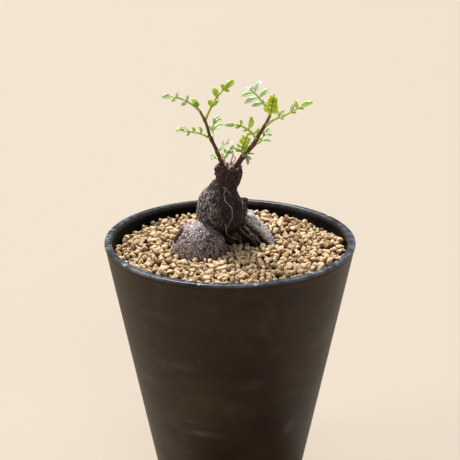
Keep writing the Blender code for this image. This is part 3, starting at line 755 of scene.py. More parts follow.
LIMBS = {
    "trunk": Limb(
        (
            (-1.8, 5.4, 101.0, 3.4, 3.4), (-2.0, 4.8, 102.6, 6.0, 5.6), (-2.5, 4.2, 105.0, 8.1, 7.4),
            (-2.9, 3.8, 107.4, 8.9, 8.2), (-3.1, 3.6, 110.4, 8.8, 8.2), (-3.0, 3.4, 113.0, 7.7, 7.4),
            (-2.5, 3.2, 115.4, 6.1, 6.2), (-1.9, 3.1, 117.4, 4.8, 4.9), (-1.2, 3.0, 119.0, 4.0, 4.1),
            (-0.8, 3.0, 120.4, 4.2, 4.1), (-0.5, 3.0, 122.3, 4.6, 4.4), (-0.7, 3.0, 124.2, 4.5, 4.3),
            (-0.6, 3.0, 125.3, 3.7, 3.6), (-0.5, 3.0, 125.8, 2.2, 2.2),
        ),
        140, (2.2, 2.2, 12.0), 0.55,
    ),
    "right_root": Limb(
        (
            (1.0, 8.6, 105.4, 3.0, 3.4), (4.0, 8.8, 103.4, 4.0, 4.8), (7.3, 9.0, 99.9, 4.2, 5.0),
            (10.9, 9.3, 95.6, 4.1, 5.2), (13.6, 9.8, 90.6, 3.6, 4.6), (15.2, 10.4, 85.6, 2.6, 3.2),
            (16.4, 11.0, 80.0, 1.0, 1.2),
        ),
        90, (9.0, 2.2, 9.0), 0.9,
    ),
    "taproot": Limb(
        (
            (0.0, 9.0, 96.0, 4.6, 4.6), (0.0, 6.6, 84.0, 2.8, 2.8), (-0.6, 5.0, 72.0, 1.6, 1.6),
            (-1.2, 4.0, 62.0, 0.6, 0.6),
        ),
        40, (3.0, 3.0, 8.0), 0.2,
    ),
    "left_side_root": Limb(
        ((-11.0, -1.0, 93.0, 3.2, 3.2), (-13.0, -4.0, 84.0, 2.2, 2.2), (-16.0, -8.0, 75.0, 0.7, 0.7)),
        40, (3.0, 3.0, 6.0), 0.2,
    ),
    "rear_side_root": Limb(
        ((-5.0, 13.0, 93.0, 3.0, 3.0), (-7.0, 17.0, 85.0, 1.8, 1.8), (-8.0, 20.0, 78.0, 0.6, 0.6)),
        40, (3.0, 3.0, 6.0), 0.2,
    ),
}
LUMPS = {
    "left_root": Lump((-11.2, -1.2, 95.9), (9.5, 9.3, 10.1), (0, 0, 20), (3.0, 3.0, 5.0), 0.4),
    "left_rear_root": Lump((-14.2, 4.2, 95.2), (6.3, 5.4, 6.5), (0, -10, 0), (3.5, 3.5, 3.5), 0.4),
    "core": Lump((1.0, 11.6, 97.0), (7.5, 5.6, 9.5), (0, 0, 0), (3.0, 3.0, 12.0), 0.5),
    "rear_root": Lump((-5.0, 12.4, 97.0), (7.0, 6.0, 7.5), (12, 0, 0), (3.0, 3.0, 8.0), 0.6),
    "rear_knob": Lump((5.0, 7.5, 111.4), (1.9, 2.0, 1.1), (0, 0, 0), (2.0, 2.0, 2.0), 0.2),
    "left_shoulder": Lump((-3.8, 2.2, 124.6), (1.5, 1.8, 1.5), (0, 0, 0), (2.0, 2.0, 2.0), 0.3),
    "right_shoulder": Lump((3.0, 2.2, 123.2), (1.4, 1.9, 2.2), (0, 0, 0), (2.0, 2.0, 2.0), 0.3),
}
TRUNK = ("trunk", "right_root", "core", "rear_root", "rear_knob", "left_shoulder", "right_shoulder")
LEFT_ROOT = ("left_root", "left_rear_root")
# Limbs that the grit hides, which need no fine bark
BURIED = ("taproot", "left_side_root", "rear_side_root")
# Where the skin of the left root has torn and curled away: a line of (x, y, z) points
TEAR = ((-17.3, -2.5, 103.4), (-18.4, -2.9, 102.1), (-19.3, -3.0, 100.8), (-19.9, -3.0, 99.5))


def fold(place, grain, depth):
    """The height of the caudex's large folds at a place, which the bark's own relief is laid on."""
    share = noise.noise(Vector(a / b for a, b in zip(place, grain)))
    return FOLD_SHARE * depth * (2 * abs(share) - 0.4)


def lump_mesh(spec):
    """A ball stretched to spec's radii and folded: its points and faces."""
    bm = bmesh.new()
    bmesh.ops.create_icosphere(bm, subdivisions=LUMP_DETAIL, radius=1)
    turn = Euler([math.radians(a) for a in spec.tilt]).to_matrix()
    centre = Vector(spec.centre)
    for v in bm.verts:
        out = v.co.normalized()
        place = Vector(a * b for a, b in zip(out, spec.radii))
        v.co = turn @ (place + out * fold(place + centre, spec.grain, spec.depth)) + centre
    points = [tuple(v.co) for v in bm.verts]
    faces = [tuple(v.index for v in face.verts) for face in bm.faces]
    bm.free()
    return points, faces


def limb_mesh(spec):
    """A tapering limb drawn through spec's rings and folded: its points and faces."""
    rings = smooth_route(spec.rings, LIMB_STEPS)
    centres = rings[:, :3]
    points = []
    for i, (centre, (wide, deep)) in enumerate(zip(centres, rings[:, 3:])):
        along = tangent(centres, i)
        back = unit(np.array((0, 1, 0)) - along * along[1])
        across = np.cross(back, along)
        for k in range(spec.sides):
            turn = math.tau * k / spec.sides
            place = centre + across * wide * math.cos(turn) + back * deep * math.sin(turn)
            out = across * math.cos(turn) + back * math.sin(turn)
            points.append(place + out * fold(place, spec.grain, spec.depth))
    return points, rod_faces(len(rings), spec.sides)


def stringy(place, size, stretch, wander=0.8):
    """Ridges from -1 to 1 that run mostly upright and wander a little."""
    drift = noise.noise_vector(place / 4.0) * wander
    spot = Vector((place.x / size, place.y / size, place.z / (size * stretch)))
    return 1 - 2.6 * abs(noise.noise(spot + drift))


def wrinkled(place):
    """Small pads between creases, as in skin that has dried: 0 in a crease, 1 on a pad."""
    drift = noise.noise_vector(place / 2.2) * 0.9 + noise.noise_vector(place / 0.8) * 0.25
    leaning = Vector((place.x - 0.5 * place.z, place.y, place.z))
    spot = Vector(a / b for a, b in zip(leaning, WRINKLE)) + drift
    near, next_near = noise.voronoi(spot)[0][:2]
    return float(smooth_step(next_near - near, 0.0, 0.42))


def bark_relief(place, part, root_line):
    """The bark's relief at a place: its height in millimetres, that as -1 to 1 for colour, and its fibres.

    Each kind of bark adds up a few patterns, each at its own real size.
    """
    fine = noise.noise(place / 0.42)
    if part in LEFT_ROOT:
        pads = wrinkled(place)
        lines = stringy(place, 1.3, 2.4, 1.2)
        return 0.17 * pads + 0.09 * lines + 0.05 * fine, 1.15 * pads + 0.25 * lines - 0.25, 0.0
    if part in ("right_root", "core"):
        along = place.dot(root_line)
        drift = noise.noise_vector(place / 3.0) * 0.5
        spot = (place - root_line * along) / 0.75 + root_line * (along / 8.0) + drift
        groove = 1 - 2.8 * abs(noise.noise(spot))
        split = 1 - 2.6 * abs(noise.noise(spot * 0.4 + Vector((7, 3, 1))))
        return 0.22 * groove + 0.28 * split + 0.08 * fine, 0.6 * groove + 0.4 * split + 0.3 * fine, groove
    if part in ("left_shoulder", "right_shoulder", "rear_knob"):
        knobs = noise.noise(place / 1.1)
        lines = stringy(place, 0.7, 2.0)
        return 0.34 * knobs + 0.12 * lines + 0.06 * fine, 0.9 * knobs + 0.6 * lines, 0.0
    if place.z > NECK_KNOBS_FROM:
        rings = 1 - 2.4 * abs(noise.noise(Vector((place.x / 3.0, place.y / 3.0, place.z / 1.2))))
        knobs = noise.noise(place / 1.1)
        lines = stringy(place, 0.8, 2.4)
        height = 0.16 * rings + 0.3 * knobs + 0.18 * lines + 0.05 * fine
        return height, 0.4 * rings + 0.7 * knobs + 0.6 * lines, 0.0
    lines = stringy(place, 0.7, 2.6, 1.0)
    threads = stringy(place + Vector((9, 4, 2)), 0.42, 2.4, 0.8)
    scales = noise.noise(Vector((place.x / 0.55, place.y / 0.55, place.z / 0.7)))
    height = 0.15 * lines + 0.12 * threads + 0.09 * scales + 0.04 * fine
    return height, 0.5 * lines + 0.6 * threads + 0.6 * scales, 0.0


def spread(values, edges, times):
    """Values at the points, each averaged with its neighbours a few times."""
    for _ in range(times):
        total = np.array(values, float)
        count = np.ones(len(total))
        for a, b in ((0, 1), (1, 0)):
            np.add.at(total, edges[:, a], values[edges[:, b]])
            np.add.at(count, edges[:, a], 1)
        values = total / count
    return values


def bark_masks(skin, owner, root_line):
    """Where each kind of bark lies, from 0 to 1 at each point."""
    owner = np.array(owner)
    x, y, z = skin.T
    on_trunk = owner == "trunk"
    lobe = np.isin(owner, LEFT_ROOT).astype(float)
    root = np.isin(owner, ("right_root", "core")).astype(float)
    knobby = np.isin(owner, ("left_shoulder", "right_shoulder", "rear_knob"))
    above = np.cross(root_line, (0.0, 1.0, 0.0))
    centres = smooth_route(LIMBS["right_root"].rings, LIMB_STEPS)[:, :3]
    nearest = np.argmin(((skin[:, None, :] - centres) ** 2).sum(2), axis=1)
    out = skin - centres[nearest]
    upward = (out @ above) / np.linalg.norm(out, axis=1)
    ragged = np.array([noise.noise(Vector(p) / 0.8) + 0.6 * noise.noise(Vector(p) / 0.4) for p in skin])
    # The pale crust covers the right root's upper side, down to a ragged edge with a groove below it
    edge = upward + 0.16 * ragged
    right = (owner == "right_root").astype(float)
    crust = right * smooth_step(edge, CRUST_EDGE, CRUST_EDGE + 0.08)
    groove = right * np.exp(-(((edge - CRUST_EDGE + 0.1) / 0.07) ** 2))
    # The trunk's underside lies in shade between the roots
    under = np.isin(owner, ("trunk", "rear_root"))
    recess = under * smooth_step(-z, -105.5, -101.0) * smooth_step(-y, -13.0, -7.0)
    reach = np.abs(skin[:, None, :] - smooth_route(TEAR, 6)) * (1.0, 0.36, 1.0)
    torn = lobe * smooth_step(-np.sqrt((reach**2).sum(2)).min(1) - 0.4 * ragged, -1.2, -0.9)
    # The trunk's upper left faces the light: pale painted glints go there
    lit_upper_left = smooth_step(-x - 0.3 * (y - 4.0), 4.5, 10.5) * smooth_step(z, 102.0, 107.0)
    return {
        "lobe": lobe,
        "root": root,
        "neck": (knobby | (on_trunk & (z > NECK_COLOUR_FROM))).astype(float),
        "crust": crust,
        "groove": groove,
        "shade": np.maximum(recess, groove),
        "weather": on_trunk * lit_upper_left,
        "peel": np.maximum(torn, owner == "rear_knob").astype(float),
    }


def make_skin(name, parts, cell, finish):
    """Some of the caudex's limbs and lumps merged into one skin of small cells, then given its bark."""
    points, faces, owners = [], [], []
    for part in parts:
        part_points, part_faces = lump_mesh(LUMPS[part]) if part in LUMPS else limb_mesh(LIMBS[part])
        join_part(points, faces, part_points, part_faces)
        owners += [part] * len(part_points)
    rough = add_piece("caudex_rough", points, faces, finish)
    apply_modifier(rough, "REMESH", mode="VOXEL", voxel_size=cell * MM)
    apply_modifier(rough, "SMOOTH", factor=0.5, iterations=SKIN_SMOOTHING)
    mesh = rough.data
    skin = np.array([v.co for v in mesh.vertices]) / MM
    normals = np.array([v.normal for v in mesh.vertices])
    quads = [tuple(face.vertices) for face in mesh.polygons]
    bpy.data.objects.remove(rough)

    # Each point of the skin belongs to the limb or lump that it lies nearest to
    tree = kdtree.KDTree(len(points))
    for i, point in enumerate(points):
        tree.insert(point, i)
    tree.balance()
    owner = [owners[tree.find(p)[1]] for p in skin]
    rings = LIMBS["right_root"].rings
    root_line = (Vector(rings[4][:3]) - Vector(rings[1][:3])).normalized()
    relief = np.array([bark_relief(Vector(p), part, root_line) for p, part in zip(skin, owner)])
    edges = np.array([(q[i], q[(i + 1) % len(q)]) for q in quads for i in range(len(q))])
    masks = bark_masks(skin, owner, np.array(root_line))
    for key in masks:
        masks[key] = spread(masks[key], edges, 1 if key in ("crust", "peel") else 2)
    lift = relief[:, 0] + CRUST_RISE * masks["crust"]
    lift = lift - GROOVE_SINK * masks["groove"] - TEAR_SINK * masks["peel"]
    masks["ridge"] = relief[:, 1]
    masks["fibre"] = relief[:, 2]
    skin += normals * lift[:, None]
    piece = add_piece(name, skin, quads, finish, masks)
    return piece


def surface_tree(pieces):
    """A search tree over the surfaces of some pieces, in millimetres."""
    points, faces = [], []
    for piece in pieces:
        own_points = [v.co / MM for v in piece.data.vertices]
        join_part(points, faces, own_points, [face.vertices for face in piece.data.polygons])
    return BVHTree.FromPolygons(points, faces)


def make_caudex(finish):
    """The caudex: a skin for the trunk and right root, a finer one for the left root, and buried roots."""
    skins = [
        make_skin("caudex_bark_skin", TRUNK, BARK_CELL, finish),
        make_skin("left_root_skin", LEFT_ROOT, LOBE_CELL, finish),
    ]
    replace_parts(skins[0], "caudex")
    for name in BURIED:
        add_piece(name, *limb_mesh(LIMBS[name]), finish)
    return surface_tree(skins)


def grain_shape(radius, draw, bevels):
    """A broken lump's points and faces: a hull round random spots, its edges worn, its skin crumbly."""
    spots = draw.normal(size=(GRAIN_CORNERS, 3))
    spots /= np.linalg.norm(spots, axis=1)[:, None]
    stretch = draw.uniform(*GRAIN_STRETCH, 3)
    spots *= draw.uniform(*GRAIN_CORNER_REACH, (GRAIN_CORNERS, 1)) * stretch / np.prod(stretch) ** (1 / 3)
    bm = bmesh.new()
    for spot in spots:
        bm.verts.new(spot)
    hull = bmesh.ops.convex_hull(bm, input=bm.verts[:])
    inner = [item for item in hull["geom_interior"] if isinstance(item, bmesh.types.BMVert)]
    bmesh.ops.delete(bm, geom=inner, context="VERTS")
    wear = {"offset": GRAIN_EDGE_WEAR, "segments": bevels, "profile": 0.5, "clamp_overlap": True}
    bmesh.ops.bevel(bm, geom=bm.edges[:], affect="EDGES", **wear)
    shift = Vector(draw.uniform(0, 50, 3))
    points = []
    for i, v in enumerate(bm.verts):
        v.index = i
        crumbs = sum(height * noise.noise(v.co * count + shift) for height, count in GRAIN_CRUMBS)
        points.append(radius * v.co * (1 + crumbs))
    faces = [tuple(v.index for v in face.verts) for face in bm.faces]
    bm.free()
    return np.array(points), faces


def heap_top(x, y):
    """The level that the heap's grains may reach at a place."""
    rises = (rise * math.exp(-(((x - a) ** 2 + (y - b) ** 2) / reach**2)) for a, b, reach, rise in MOUNDS)
    return GRIT_TOP + max(rises)


def settle_grains(bark):
    """Places of the grains, dropped one by one: each rolls down to where it lies lowest."""
    draw = random.Random(GRAIN_SEED)
    cell = 2 * GRAIN_RADII[1]
    cells = defaultdict(list)
    grains = []

    def landing(x, y, r):
        """The height at which a grain comes to lie on the bed or on other grains."""
        height = BED_LEVEL + 0.7 * r
        i, j = int(x // cell), int(y // cell)
        for near in ((i + a, j + b) for a in (-1, 0, 1) for b in (-1, 0, 1)):
            for ox, oy, oz, radius in cells[near]:
                reach = (r + radius) * GRAIN_SINK
                gap = reach * reach - (ox - x) ** 2 - (oy - y) ** 2
                if gap > 0:
                    height = max(height, oz + math.sqrt(gap))
        return height

    def free(x, y, z, r):
        """Whether a grain is clear of the pot's wall and the bark."""
        if math.hypot(x, y) > inner_radius(z) - GRAIN_HUG * r:
            return False
        found, normal, _, far = bark.find_nearest((x, y, z), 4.0)
        if found is None:
            return True
        return far > GRAIN_HUG * r and (Vector((x, y, z)) - found).dot(normal) > 0

    for _ in range(GRAIN_LIMIT):
        r = GRAIN_RADII[0] + (GRAIN_RADII[1] - GRAIN_RADII[0]) * draw.betavariate(*GRAIN_MIX)
        reach = inner_radius(BED_LEVEL) * math.sqrt(draw.random())
        turn = draw.uniform(0, math.tau)
        x, y = reach * math.cos(turn), reach * math.sin(turn)
        z = landing(x, y, r)
        for _ in range(GRAIN_TRIES):
            step, way = draw.uniform(*GRAIN_ROLL) * r, draw.uniform(0, math.tau)
            u, v = x + step * math.cos(way), y + step * math.sin(way)
            height = landing(u, v, r)
            if height < z and math.hypot(u, v) < inner_radius(height) - GRAIN_HUG * r:
                x, y, z = u, v, height
        if z + r < heap_top(x, y) + draw.uniform(*TOP_UNEVEN) and free(x, y, z, r):
            cells[(int(x // cell), int(y // cell))].append((x, y, z, r))
            grains.append((x, y, z, r))
    return grains


def heap_surface(grains):
    """The height of the heap's top on a grid of 1 mm cells, levelled over each cell's surroundings."""
    half = math.ceil(RIM_RADIUS)
    heights = np.full((2 * half + 1, 2 * half + 1), BED_LEVEL)
    for x, y, z, r in grains:
        near = range(-math.ceil(r), math.ceil(r) + 1)
        for i in (round(x) + a for a in near):
            for j in (round(y) + b for b in near):
                high = r * r - (i - x) ** 2 - (j - y) ** 2
                if high > 0:
                    heights[i + half, j + half] = max(heights[i + half, j + half], z + math.sqrt(high))
    for axis in (0, 1, 0, 1):
        heights = (np.roll(heights, 1, axis) + heights + np.roll(heights, -1, axis)) / 3
    return heights, half


def gap_shade_at(points, surface):
    """How deep in the gaps between the grains each point lies, from 0 to 1, which sets the painted shade
    there.
    """
    heights, half = surface
    i, j = (np.clip(np.round(points[:, k]).astype(int) + half, 0, 2 * half) for k in (0, 1))
    return smooth_step(heights[i, j] - points[:, 2], *GAP_SHADE_DEPTHS)


def make_grains(finish, bark):
    """The loose grains, in a few pieces, those on top with rounder edges."""
    draw = np.random.default_rng(GRAIN_SEED)
    heaps = defaultdict(lambda: ([], [], [], []))
    grains = settle_grains(bark)
    surface = heap_surface(grains)
    for x, y, z, r in grains:
        on_top = z > BED_LEVEL + TOP_GRAINS
        name = ("grit_front" if y < 0 else "grit_back") if on_top else "grit_below"
        own, own_faces = grain_shape(GRAIN_SWELL * r, draw, 2 if on_top else 1)
        points, faces, tones, underside_shades = heaps[name]
        join_part(points, faces, own + (x, y, z), own_faces)
        tones += [draw.beta(2.2, 2.2)] * len(own)
        # The grain's underside gets painted shade
        underside_shades.extend(UNDERSIDE_SHADE * smooth_step(-own[:, 2] / r, *GRAIN_UNDERSIDE))
    for name, (points, faces, tones, underside_shades) in heaps.items():
        values = {"tone": tones, "hollow": np.maximum(underside_shades, gap_shade_at(np.array(points), surface))}
        add_piece(name, points, faces, finish, values)


def make_bed(finish):
    """The grit below the loose grains, as one rough-topped body down to the pot's floor."""
    low = POT_FLOOR + BED_GAP
    top = inner_radius(BED_LEVEL) - BED_GAP
    points = []
    for i in range(1, BED_RINGS + 1):
        bump = BED_BUMP if i < BED_RINGS else 0.0
        for x, y, z in ring(top * i / BED_RINGS, BED_LEVEL, BED_SIDES):
            points.append((x, y, z + bump * noise.noise(Vector((x, y, 0)) / BED_BUMP_SIZE)))
    points += ring(inner_radius(low) - BED_GAP, low, BED_SIDES)
    faces = [face[::-1] for face in rod_faces(BED_RINGS + 1, BED_SIDES)]
    # The whole bed is painted with the gaps' shade
    values = {"tone": np.zeros(len(points)), "hollow": np.ones(len(points))}
    stand_for(add_piece("grit_bed", points, faces, finish, values), "grit")


# A bare woody shoot: its route from inside the caudex to its tip, then its radii from foot to tip
Shoot = namedtuple("Shoot", "route radii")

SHOOTS = {
    "shoot_left": Shoot(
        (
            (-1.7, 3.0, 122.0), (-2.6, 3.0, 126.0), (-3.6, 2.8, 128.6), (-5.1, 2.4, 132.3),
            (-6.9, 2.0, 136.3), (-8.3, 1.5, 141.2), (-10.4, 0.8, 145.8),
        ),
        (0.95, 0.85, 0.75, 0.66, 0.6, 0.52, 0.45),
    ),
    "shoot_right": Shoot(
        (
            (1.6, 3.4, 122.0), (3.0, 3.5, 126.3), (5.6, 3.6, 130.1), (8.3, 3.9, 133.2),
            (10.0, 4.2, 136.3), (12.3, 4.7, 139.8), (14.0, 5.0, 143.3),
        ),
        (1.05, 1.0, 0.9, 0.8, 0.7, 0.6, 0.5),
    ),
    "dry_stalk": Shoot(
        ((0.0, 1.2, 122.4), (-0.4, 1.0, 125.4), (0.5, 1.5, 128.2), (1.1, 1.9, 130.0), (0.4, 2.2, 131.4)),
        (0.42, 0.36, 0.32, 0.3, 0.3),
    ),
}


def make_shoot(name, finish, slot):
    """A woody shoot or stalk: tapered, a little knotty, and swollen where a leaf leaves it."""
    spec = SHOOTS[name]
    route = smooth_route(spec.route, SHOOT_STEPS)
    swelling, swell_reach = JOINT_SWELL
    collar, collar_place, collar_reach = COLLAR
    if slot != "twig":
        collar = 0.0
    joints = [leaf.at for leaf in LEAVES.values() if leaf.shoot == name and leaf.at < 1]
    radii = []
    for i in range(len(route)):
        place = i / (len(route) - 1)
        joint = sum(math.exp(-(((place - at) / swell_reach) ** 2)) for at in joints)
        near_foot = math.exp(-(((place - collar_place) / collar_reach) ** 2))
        swell = 1 + swelling * min(joint, 1) + collar * near_foot
        radii.append(point_along(spec.radii, place) * swell)
    points, faces = tube(route, radii, SHOOT_SIDES)
    moved = []
    for point, centre in zip(points, np.repeat(route, SHOOT_SIDES, axis=0)):
        knots = sum(noise.noise(Vector(point) / size) * share for share, size in KNOTS)
        moved.append(point + (point - centre) * knots)
    along = np.repeat(np.arange(len(route)) / (len(route) - 1), SHOOT_SIDES)
    stand_for(add_piece(name + "_bark", moved, faces, finish, {"along": along}), name)


# A leaf: the shoot that it grows from and the place along it, the rib's route beyond the shoot, the way
# that the leaf's upper side looks, then (place along the rib, left leaflet, right leaflet) for each pair,
# and the leaflet at the tip. Left is as seen from above the leaf, looking along its rib.
# A leaflet: its length, its angle from the rib, its angle out of the leaf's plane, and its width to its
# length where that isn't the usual one.
# age: 0 for a young yellow leaf to 1 for a dark old one. The last column: how strong the bluish-white painted
# sheen, a painted highlight, is on the leaflets, first
# the tip's and then each pair's, or one number for them all.
Leaf = namedtuple("Leaf", "shoot at route face pairs tip age blooms")

LEAVES = {
    "leaf_left_top": Leaf(
        "shoot_left", 1.0, ((-13.0, -0.8, 148.4), (-16.7, -3.2, 150.9), (-19.7, -5.4, 152.1)),
        (0, -0.74, 0.67),
        (
            (0.14, (2.8, -68, -10, 0.6), (3.6, 40, -15, 0.66)),
            (0.50, (3.0, 50, 0, 0.48), (2.5, 84, 10, 0.5)),
            (0.82, (2.7, 40, 0, 0.5), (2.6, 104, 5, 0.48)),
        ),
        (3.8, 15, 0, 0.48), 0.2, (0.6, 0.1, 0.0, 0.8, 0.9, 1.0, 1.0),
    ),
    "leaf_left_high": Leaf(
        "shoot_left", 0.87, ((-6.9, 3.0, 145.9), (-4.6, 5.2, 149.6), (-2.2, 7.4, 152.1)),
        (0.1, -0.9, 0.3),
        (
            (0.40, (2.5, 46, 10, 0.7), (3.1, 20, 20, 0.4)), (0.66, (3.7, 50, 5, 0.56), (1.9, 50, -50)),
            (0.97, (2.2, 52, 10, 0.7), (2.2, 56, 0, 0.6)),
        ),
        (5.0, -9, 0, 0.4), 0.22, (0.05,),
    ),
    "leaf_left_mid": Leaf(
        "shoot_left", 0.646, ((-10.0, -0.4, 138.0), (-12.9, -3.0, 139.3), (-15.0, -5.0, 139.9)),
        (0, -0.6, 0.8),
        (
            (0.33, (2.0, 60, 35), (2.6, 62, 25, 0.66)), (0.60, (2.0, 60, 30), (2.1, 84, 20, 0.75)),
            (0.78, (1.8, 30, -40), (5.0, 13, 12, 0.3)),
        ),
        (5.0, 3, 2, 0.32), 0.32, (0.2, 0.1, 0.3, 0.1, 0.1, 0.1, 0.75),
    ),
    "leaf_left_rear": Leaf(
        "shoot_left", 0.61, ((-6.2, 5.8, 137.0), (-6.0, 7.8, 139.0), (-5.2, 9.4, 140.4)), (0, -0.9, 0.4),
        ((0.42, (3.0, 55, 10), (4.4, 52, 0, 0.34)), (0.78, (2.4, 20, 15), (3.4, 30, 5, 0.36))),
        (2.6, -16, 0), 0.45, (0.5, 0.7, 0.35, 0.6, 0.3),
    ),
    "leaf_left_low": Leaf(
        "shoot_left", 0.27, ((-4.2, 4.9, 127.7), (-5.3, 5.8, 127.9)), (0, -0.5, 0.8),
        ((0.70, (2.1, 50, 10), (2.1, 50, 10)),),
        (2.2, 0, 0), 0.8, (0.1,),
    ),
    "leaf_left_inner": Leaf(
        "shoot_left", 0.43, ((-2.9, 0.8, 132.8), (-1.9, -1.0, 134.4), (-0.7, -2.8, 135.3)),
        (0.1, -0.7, 0.7),
        ((0.50, (1.8, 60, 25), (2.3, 60, 10)), (0.86, (2.0, 60, 20), (2.6, 65, 10))),
        (2.6, 0, -5), 0.4, (0.7, 0.3, 0.6, 0.8, 0.6),
    ),
    "leaf_crown": Leaf(
        "shoot_left", 0.30, ((-1.4, 0.8, 129.6), (-0.8, 0.1, 131.2), (0.0, -0.5, 132.4)),
        (0.1, -0.9, 0.4),
        ((0.62, (2.3, 45, 20), (2.1, 45, 0)),),
        (2.2, 0, 0), 0.6, (0.3,),
    ),
    "leaf_right_top": Leaf(
        "shoot_right", 1.0,
        ((13.2, 6.4, 145.0), (11.7, 7.6, 147.0), (9.5, 9.6, 149.4), (7.8, 11.0, 150.7)), (0, -0.9, 0.4),
        (
            (0.50, (3.9, 66, 0, 0.35), (1.8, 50, -20)), (0.67, (5.3, 70, 0, 0.32), (4.8, 88, 5, 0.34)),
            (0.88, (4.6, 58, 5, 0.34), (4.8, 72, 5, 0.3)), (1.00, (3.0, 62, 5), (2.2, 60, 10)),
        ),
        (2.2, 0, 0), 0.4, (0.7, 0.3, 0.6, 0.9, 0.7, 0.6, 0.9, 0.9, 0.8),
    ),
    "leaf_right_young": Leaf(
        "shoot_right", 1.0, ((14.5, 2.9, 147.1), (14.9, 1.2, 150.2)), (0.0, -1.0, 0.1),
        tuple(
            (
                0.2 + 0.12 * k,
                (3.3 - 0.18 * k, 54 - 3 * k, 12 + 16 * (k % 2), 0.46),
                (3.1 - 0.16 * k, 50 - 3 * k, 26, 0.46),
            )
            for k in range(7)
        ),
        (2.0, 0, 10), 0.0, (0.0,),
    ),
    "leaf_right_side": Leaf(
        "shoot_right", 0.82,
        ((15.8, 3.0, 142.5), (18.5, 1.8, 143.8), (22.0, -0.2, 146.2), (23.9, -1.4, 147.6)),
        (-0.1, -0.8, 0.6),
        (
            (0.36, (3.5, 38, 10, 0.4), (1.8, 25, -30)), (0.42, (2.8, 112, 10, 0.42), (2.2, 50, 50)),
            (0.67, (2.8, 50, 10, 0.42), (1.8, 25, -30)), (0.76, (2.3, 100, 10, 0.5), (2.0, 50, 50)),
            (0.93, (2.9, 98, 10, 0.62), (1.8, 25, -30)),
        ),
        (5.0, -7, 0, 0.36), 0.35, (0.15, 0.6, 0.3, 0.7, 0.1, 0.85, 0.1, 0.5, 0.1, 0.1, 0.1),
    ),
    "leaf_right_mid": Leaf(
        "shoot_right", 0.586,
        ((8.4, 1.0, 137.0), (6.9, -0.6, 139.1), (4.0, -2.8, 141.3), (1.9, -4.0, 142.1)), (0, -0.9, 0.4),
        (
            (0.34, (1.8, 40, -30), (2.9, 84, 10, 0.5)), (0.56, (1.8, 40, -30), (4.5, 72, 5, 0.5)),
            (0.78, (2.2, 32, -10), (2.1, 66, 10, 0.55)),
        ),
        (4.0, 12, 0, 0.34), 0.3, (0.4, 0.1, 0.1, 0.1, 0.05, 0.1, 0.15),
    ),
    "leaf_right_rear": Leaf(
        "shoot_right", 0.50, ((10.5, 6.6, 133.3), (11.5, 8.4, 134.6), (12.6, 10.0, 135.7)),
        (0, -0.9, 0.4),
        ((0.40, (2.0, 50, 10), (3.9, 50, 0, 0.34)), (0.80, (2.4, 40, 10), (3.2, 44, 0, 0.36))),
        (3.2, -6, 0), 0.45, (0.6, 0.4, 0.65, 0.5, 0.7),
    ),
    "leaf_centre_young": Leaf(
        "shoot_right", 0.36, ((4.3, 0.6, 132.5), (5.1, -1.0, 135.2), (5.9, -2.6, 137.7)),
        (-0.1, -0.95, 0.2),
        tuple(
            (
                0.3 + 0.12 * k,
                (2.8 - 0.15 * k, 48, 12 + 14 * (k % 2), 0.48),
                (2.7 - 0.15 * k, 50, 22, 0.48),
            )
            for k in range(6)
        ),
        (1.8, 0, 5), 0.08, (0.0,),
    ),
    "leaf_right_low": Leaf(
        "shoot_right", 0.27, ((5.0, 0.3, 130.1), (5.4, -1.2, 130.3)), (0, 0.1, 1.0),
        ((0.46, (3.4, 72, 8, 0.4), (4.2, 72, 38, 0.36)), (0.86, (2.4, 55, -25), (6.2, 84, 36, 0.28))),
        (3.0, 25, -62), 0.95, (0.5, 0.05, 0.1, 0.05, 0.25),
    ),
}


def blade_half_width(place):
    """The half width of a leaflet at a place along it, as a share of its greatest."""
    if place <= 0.08:
        return 0.12
    return 0.12 + 0.88 * math.sin(math.pi * ((place - 0.08) / 0.92) ** 0.92) ** 0.62 if place < 1 else 0.0


def blade(foot, along, face, length, ratio, curl):
    """One leaflet: a rounded oval folded along its vein, its two faces meeting at a thin edge.

    Gives its points and faces, and how far across and along the leaflet each point is.
    """
    side = unit(np.cross(face, along))
    half = length * ratio / 2
    upper, across, down = [], [], []
    for i in range(BLADE_ROWS + 1):
        place = i / BLADE_ROWS
        wide = half * blade_half_width(place)
        bend = face * length * (0.10 * math.sin(math.pi * place) - curl * place**2)
        centre = foot + along * length * place + bend
        for k in range(-BLADE_COLUMNS, BLADE_COLUMNS + 1):
            share = k / BLADE_COLUMNS
            crease = 0.42 * abs(share) - 0.16 * share**2
            upper.append(centre + side * wide * share + face * wide * crease)
            across.append(abs(share))
            down.append(place)
    lower = []
    for point, aside, place in zip(upper, across, down):
        at_edge = aside > 0.99 or place in (0.0, 1.0)
        lower.append(point - face * (0 if at_edge else BLADE_THICKNESS * (1 - 0.55 * aside)))
    front = grid_faces(BLADE_ROWS + 1, 2 * BLADE_COLUMNS + 1, closed=False)
    points, faces = upper, [face[::-1] for face in front]
    join_part(points, faces, lower, front)
    return points, faces, across * 2, down * 2


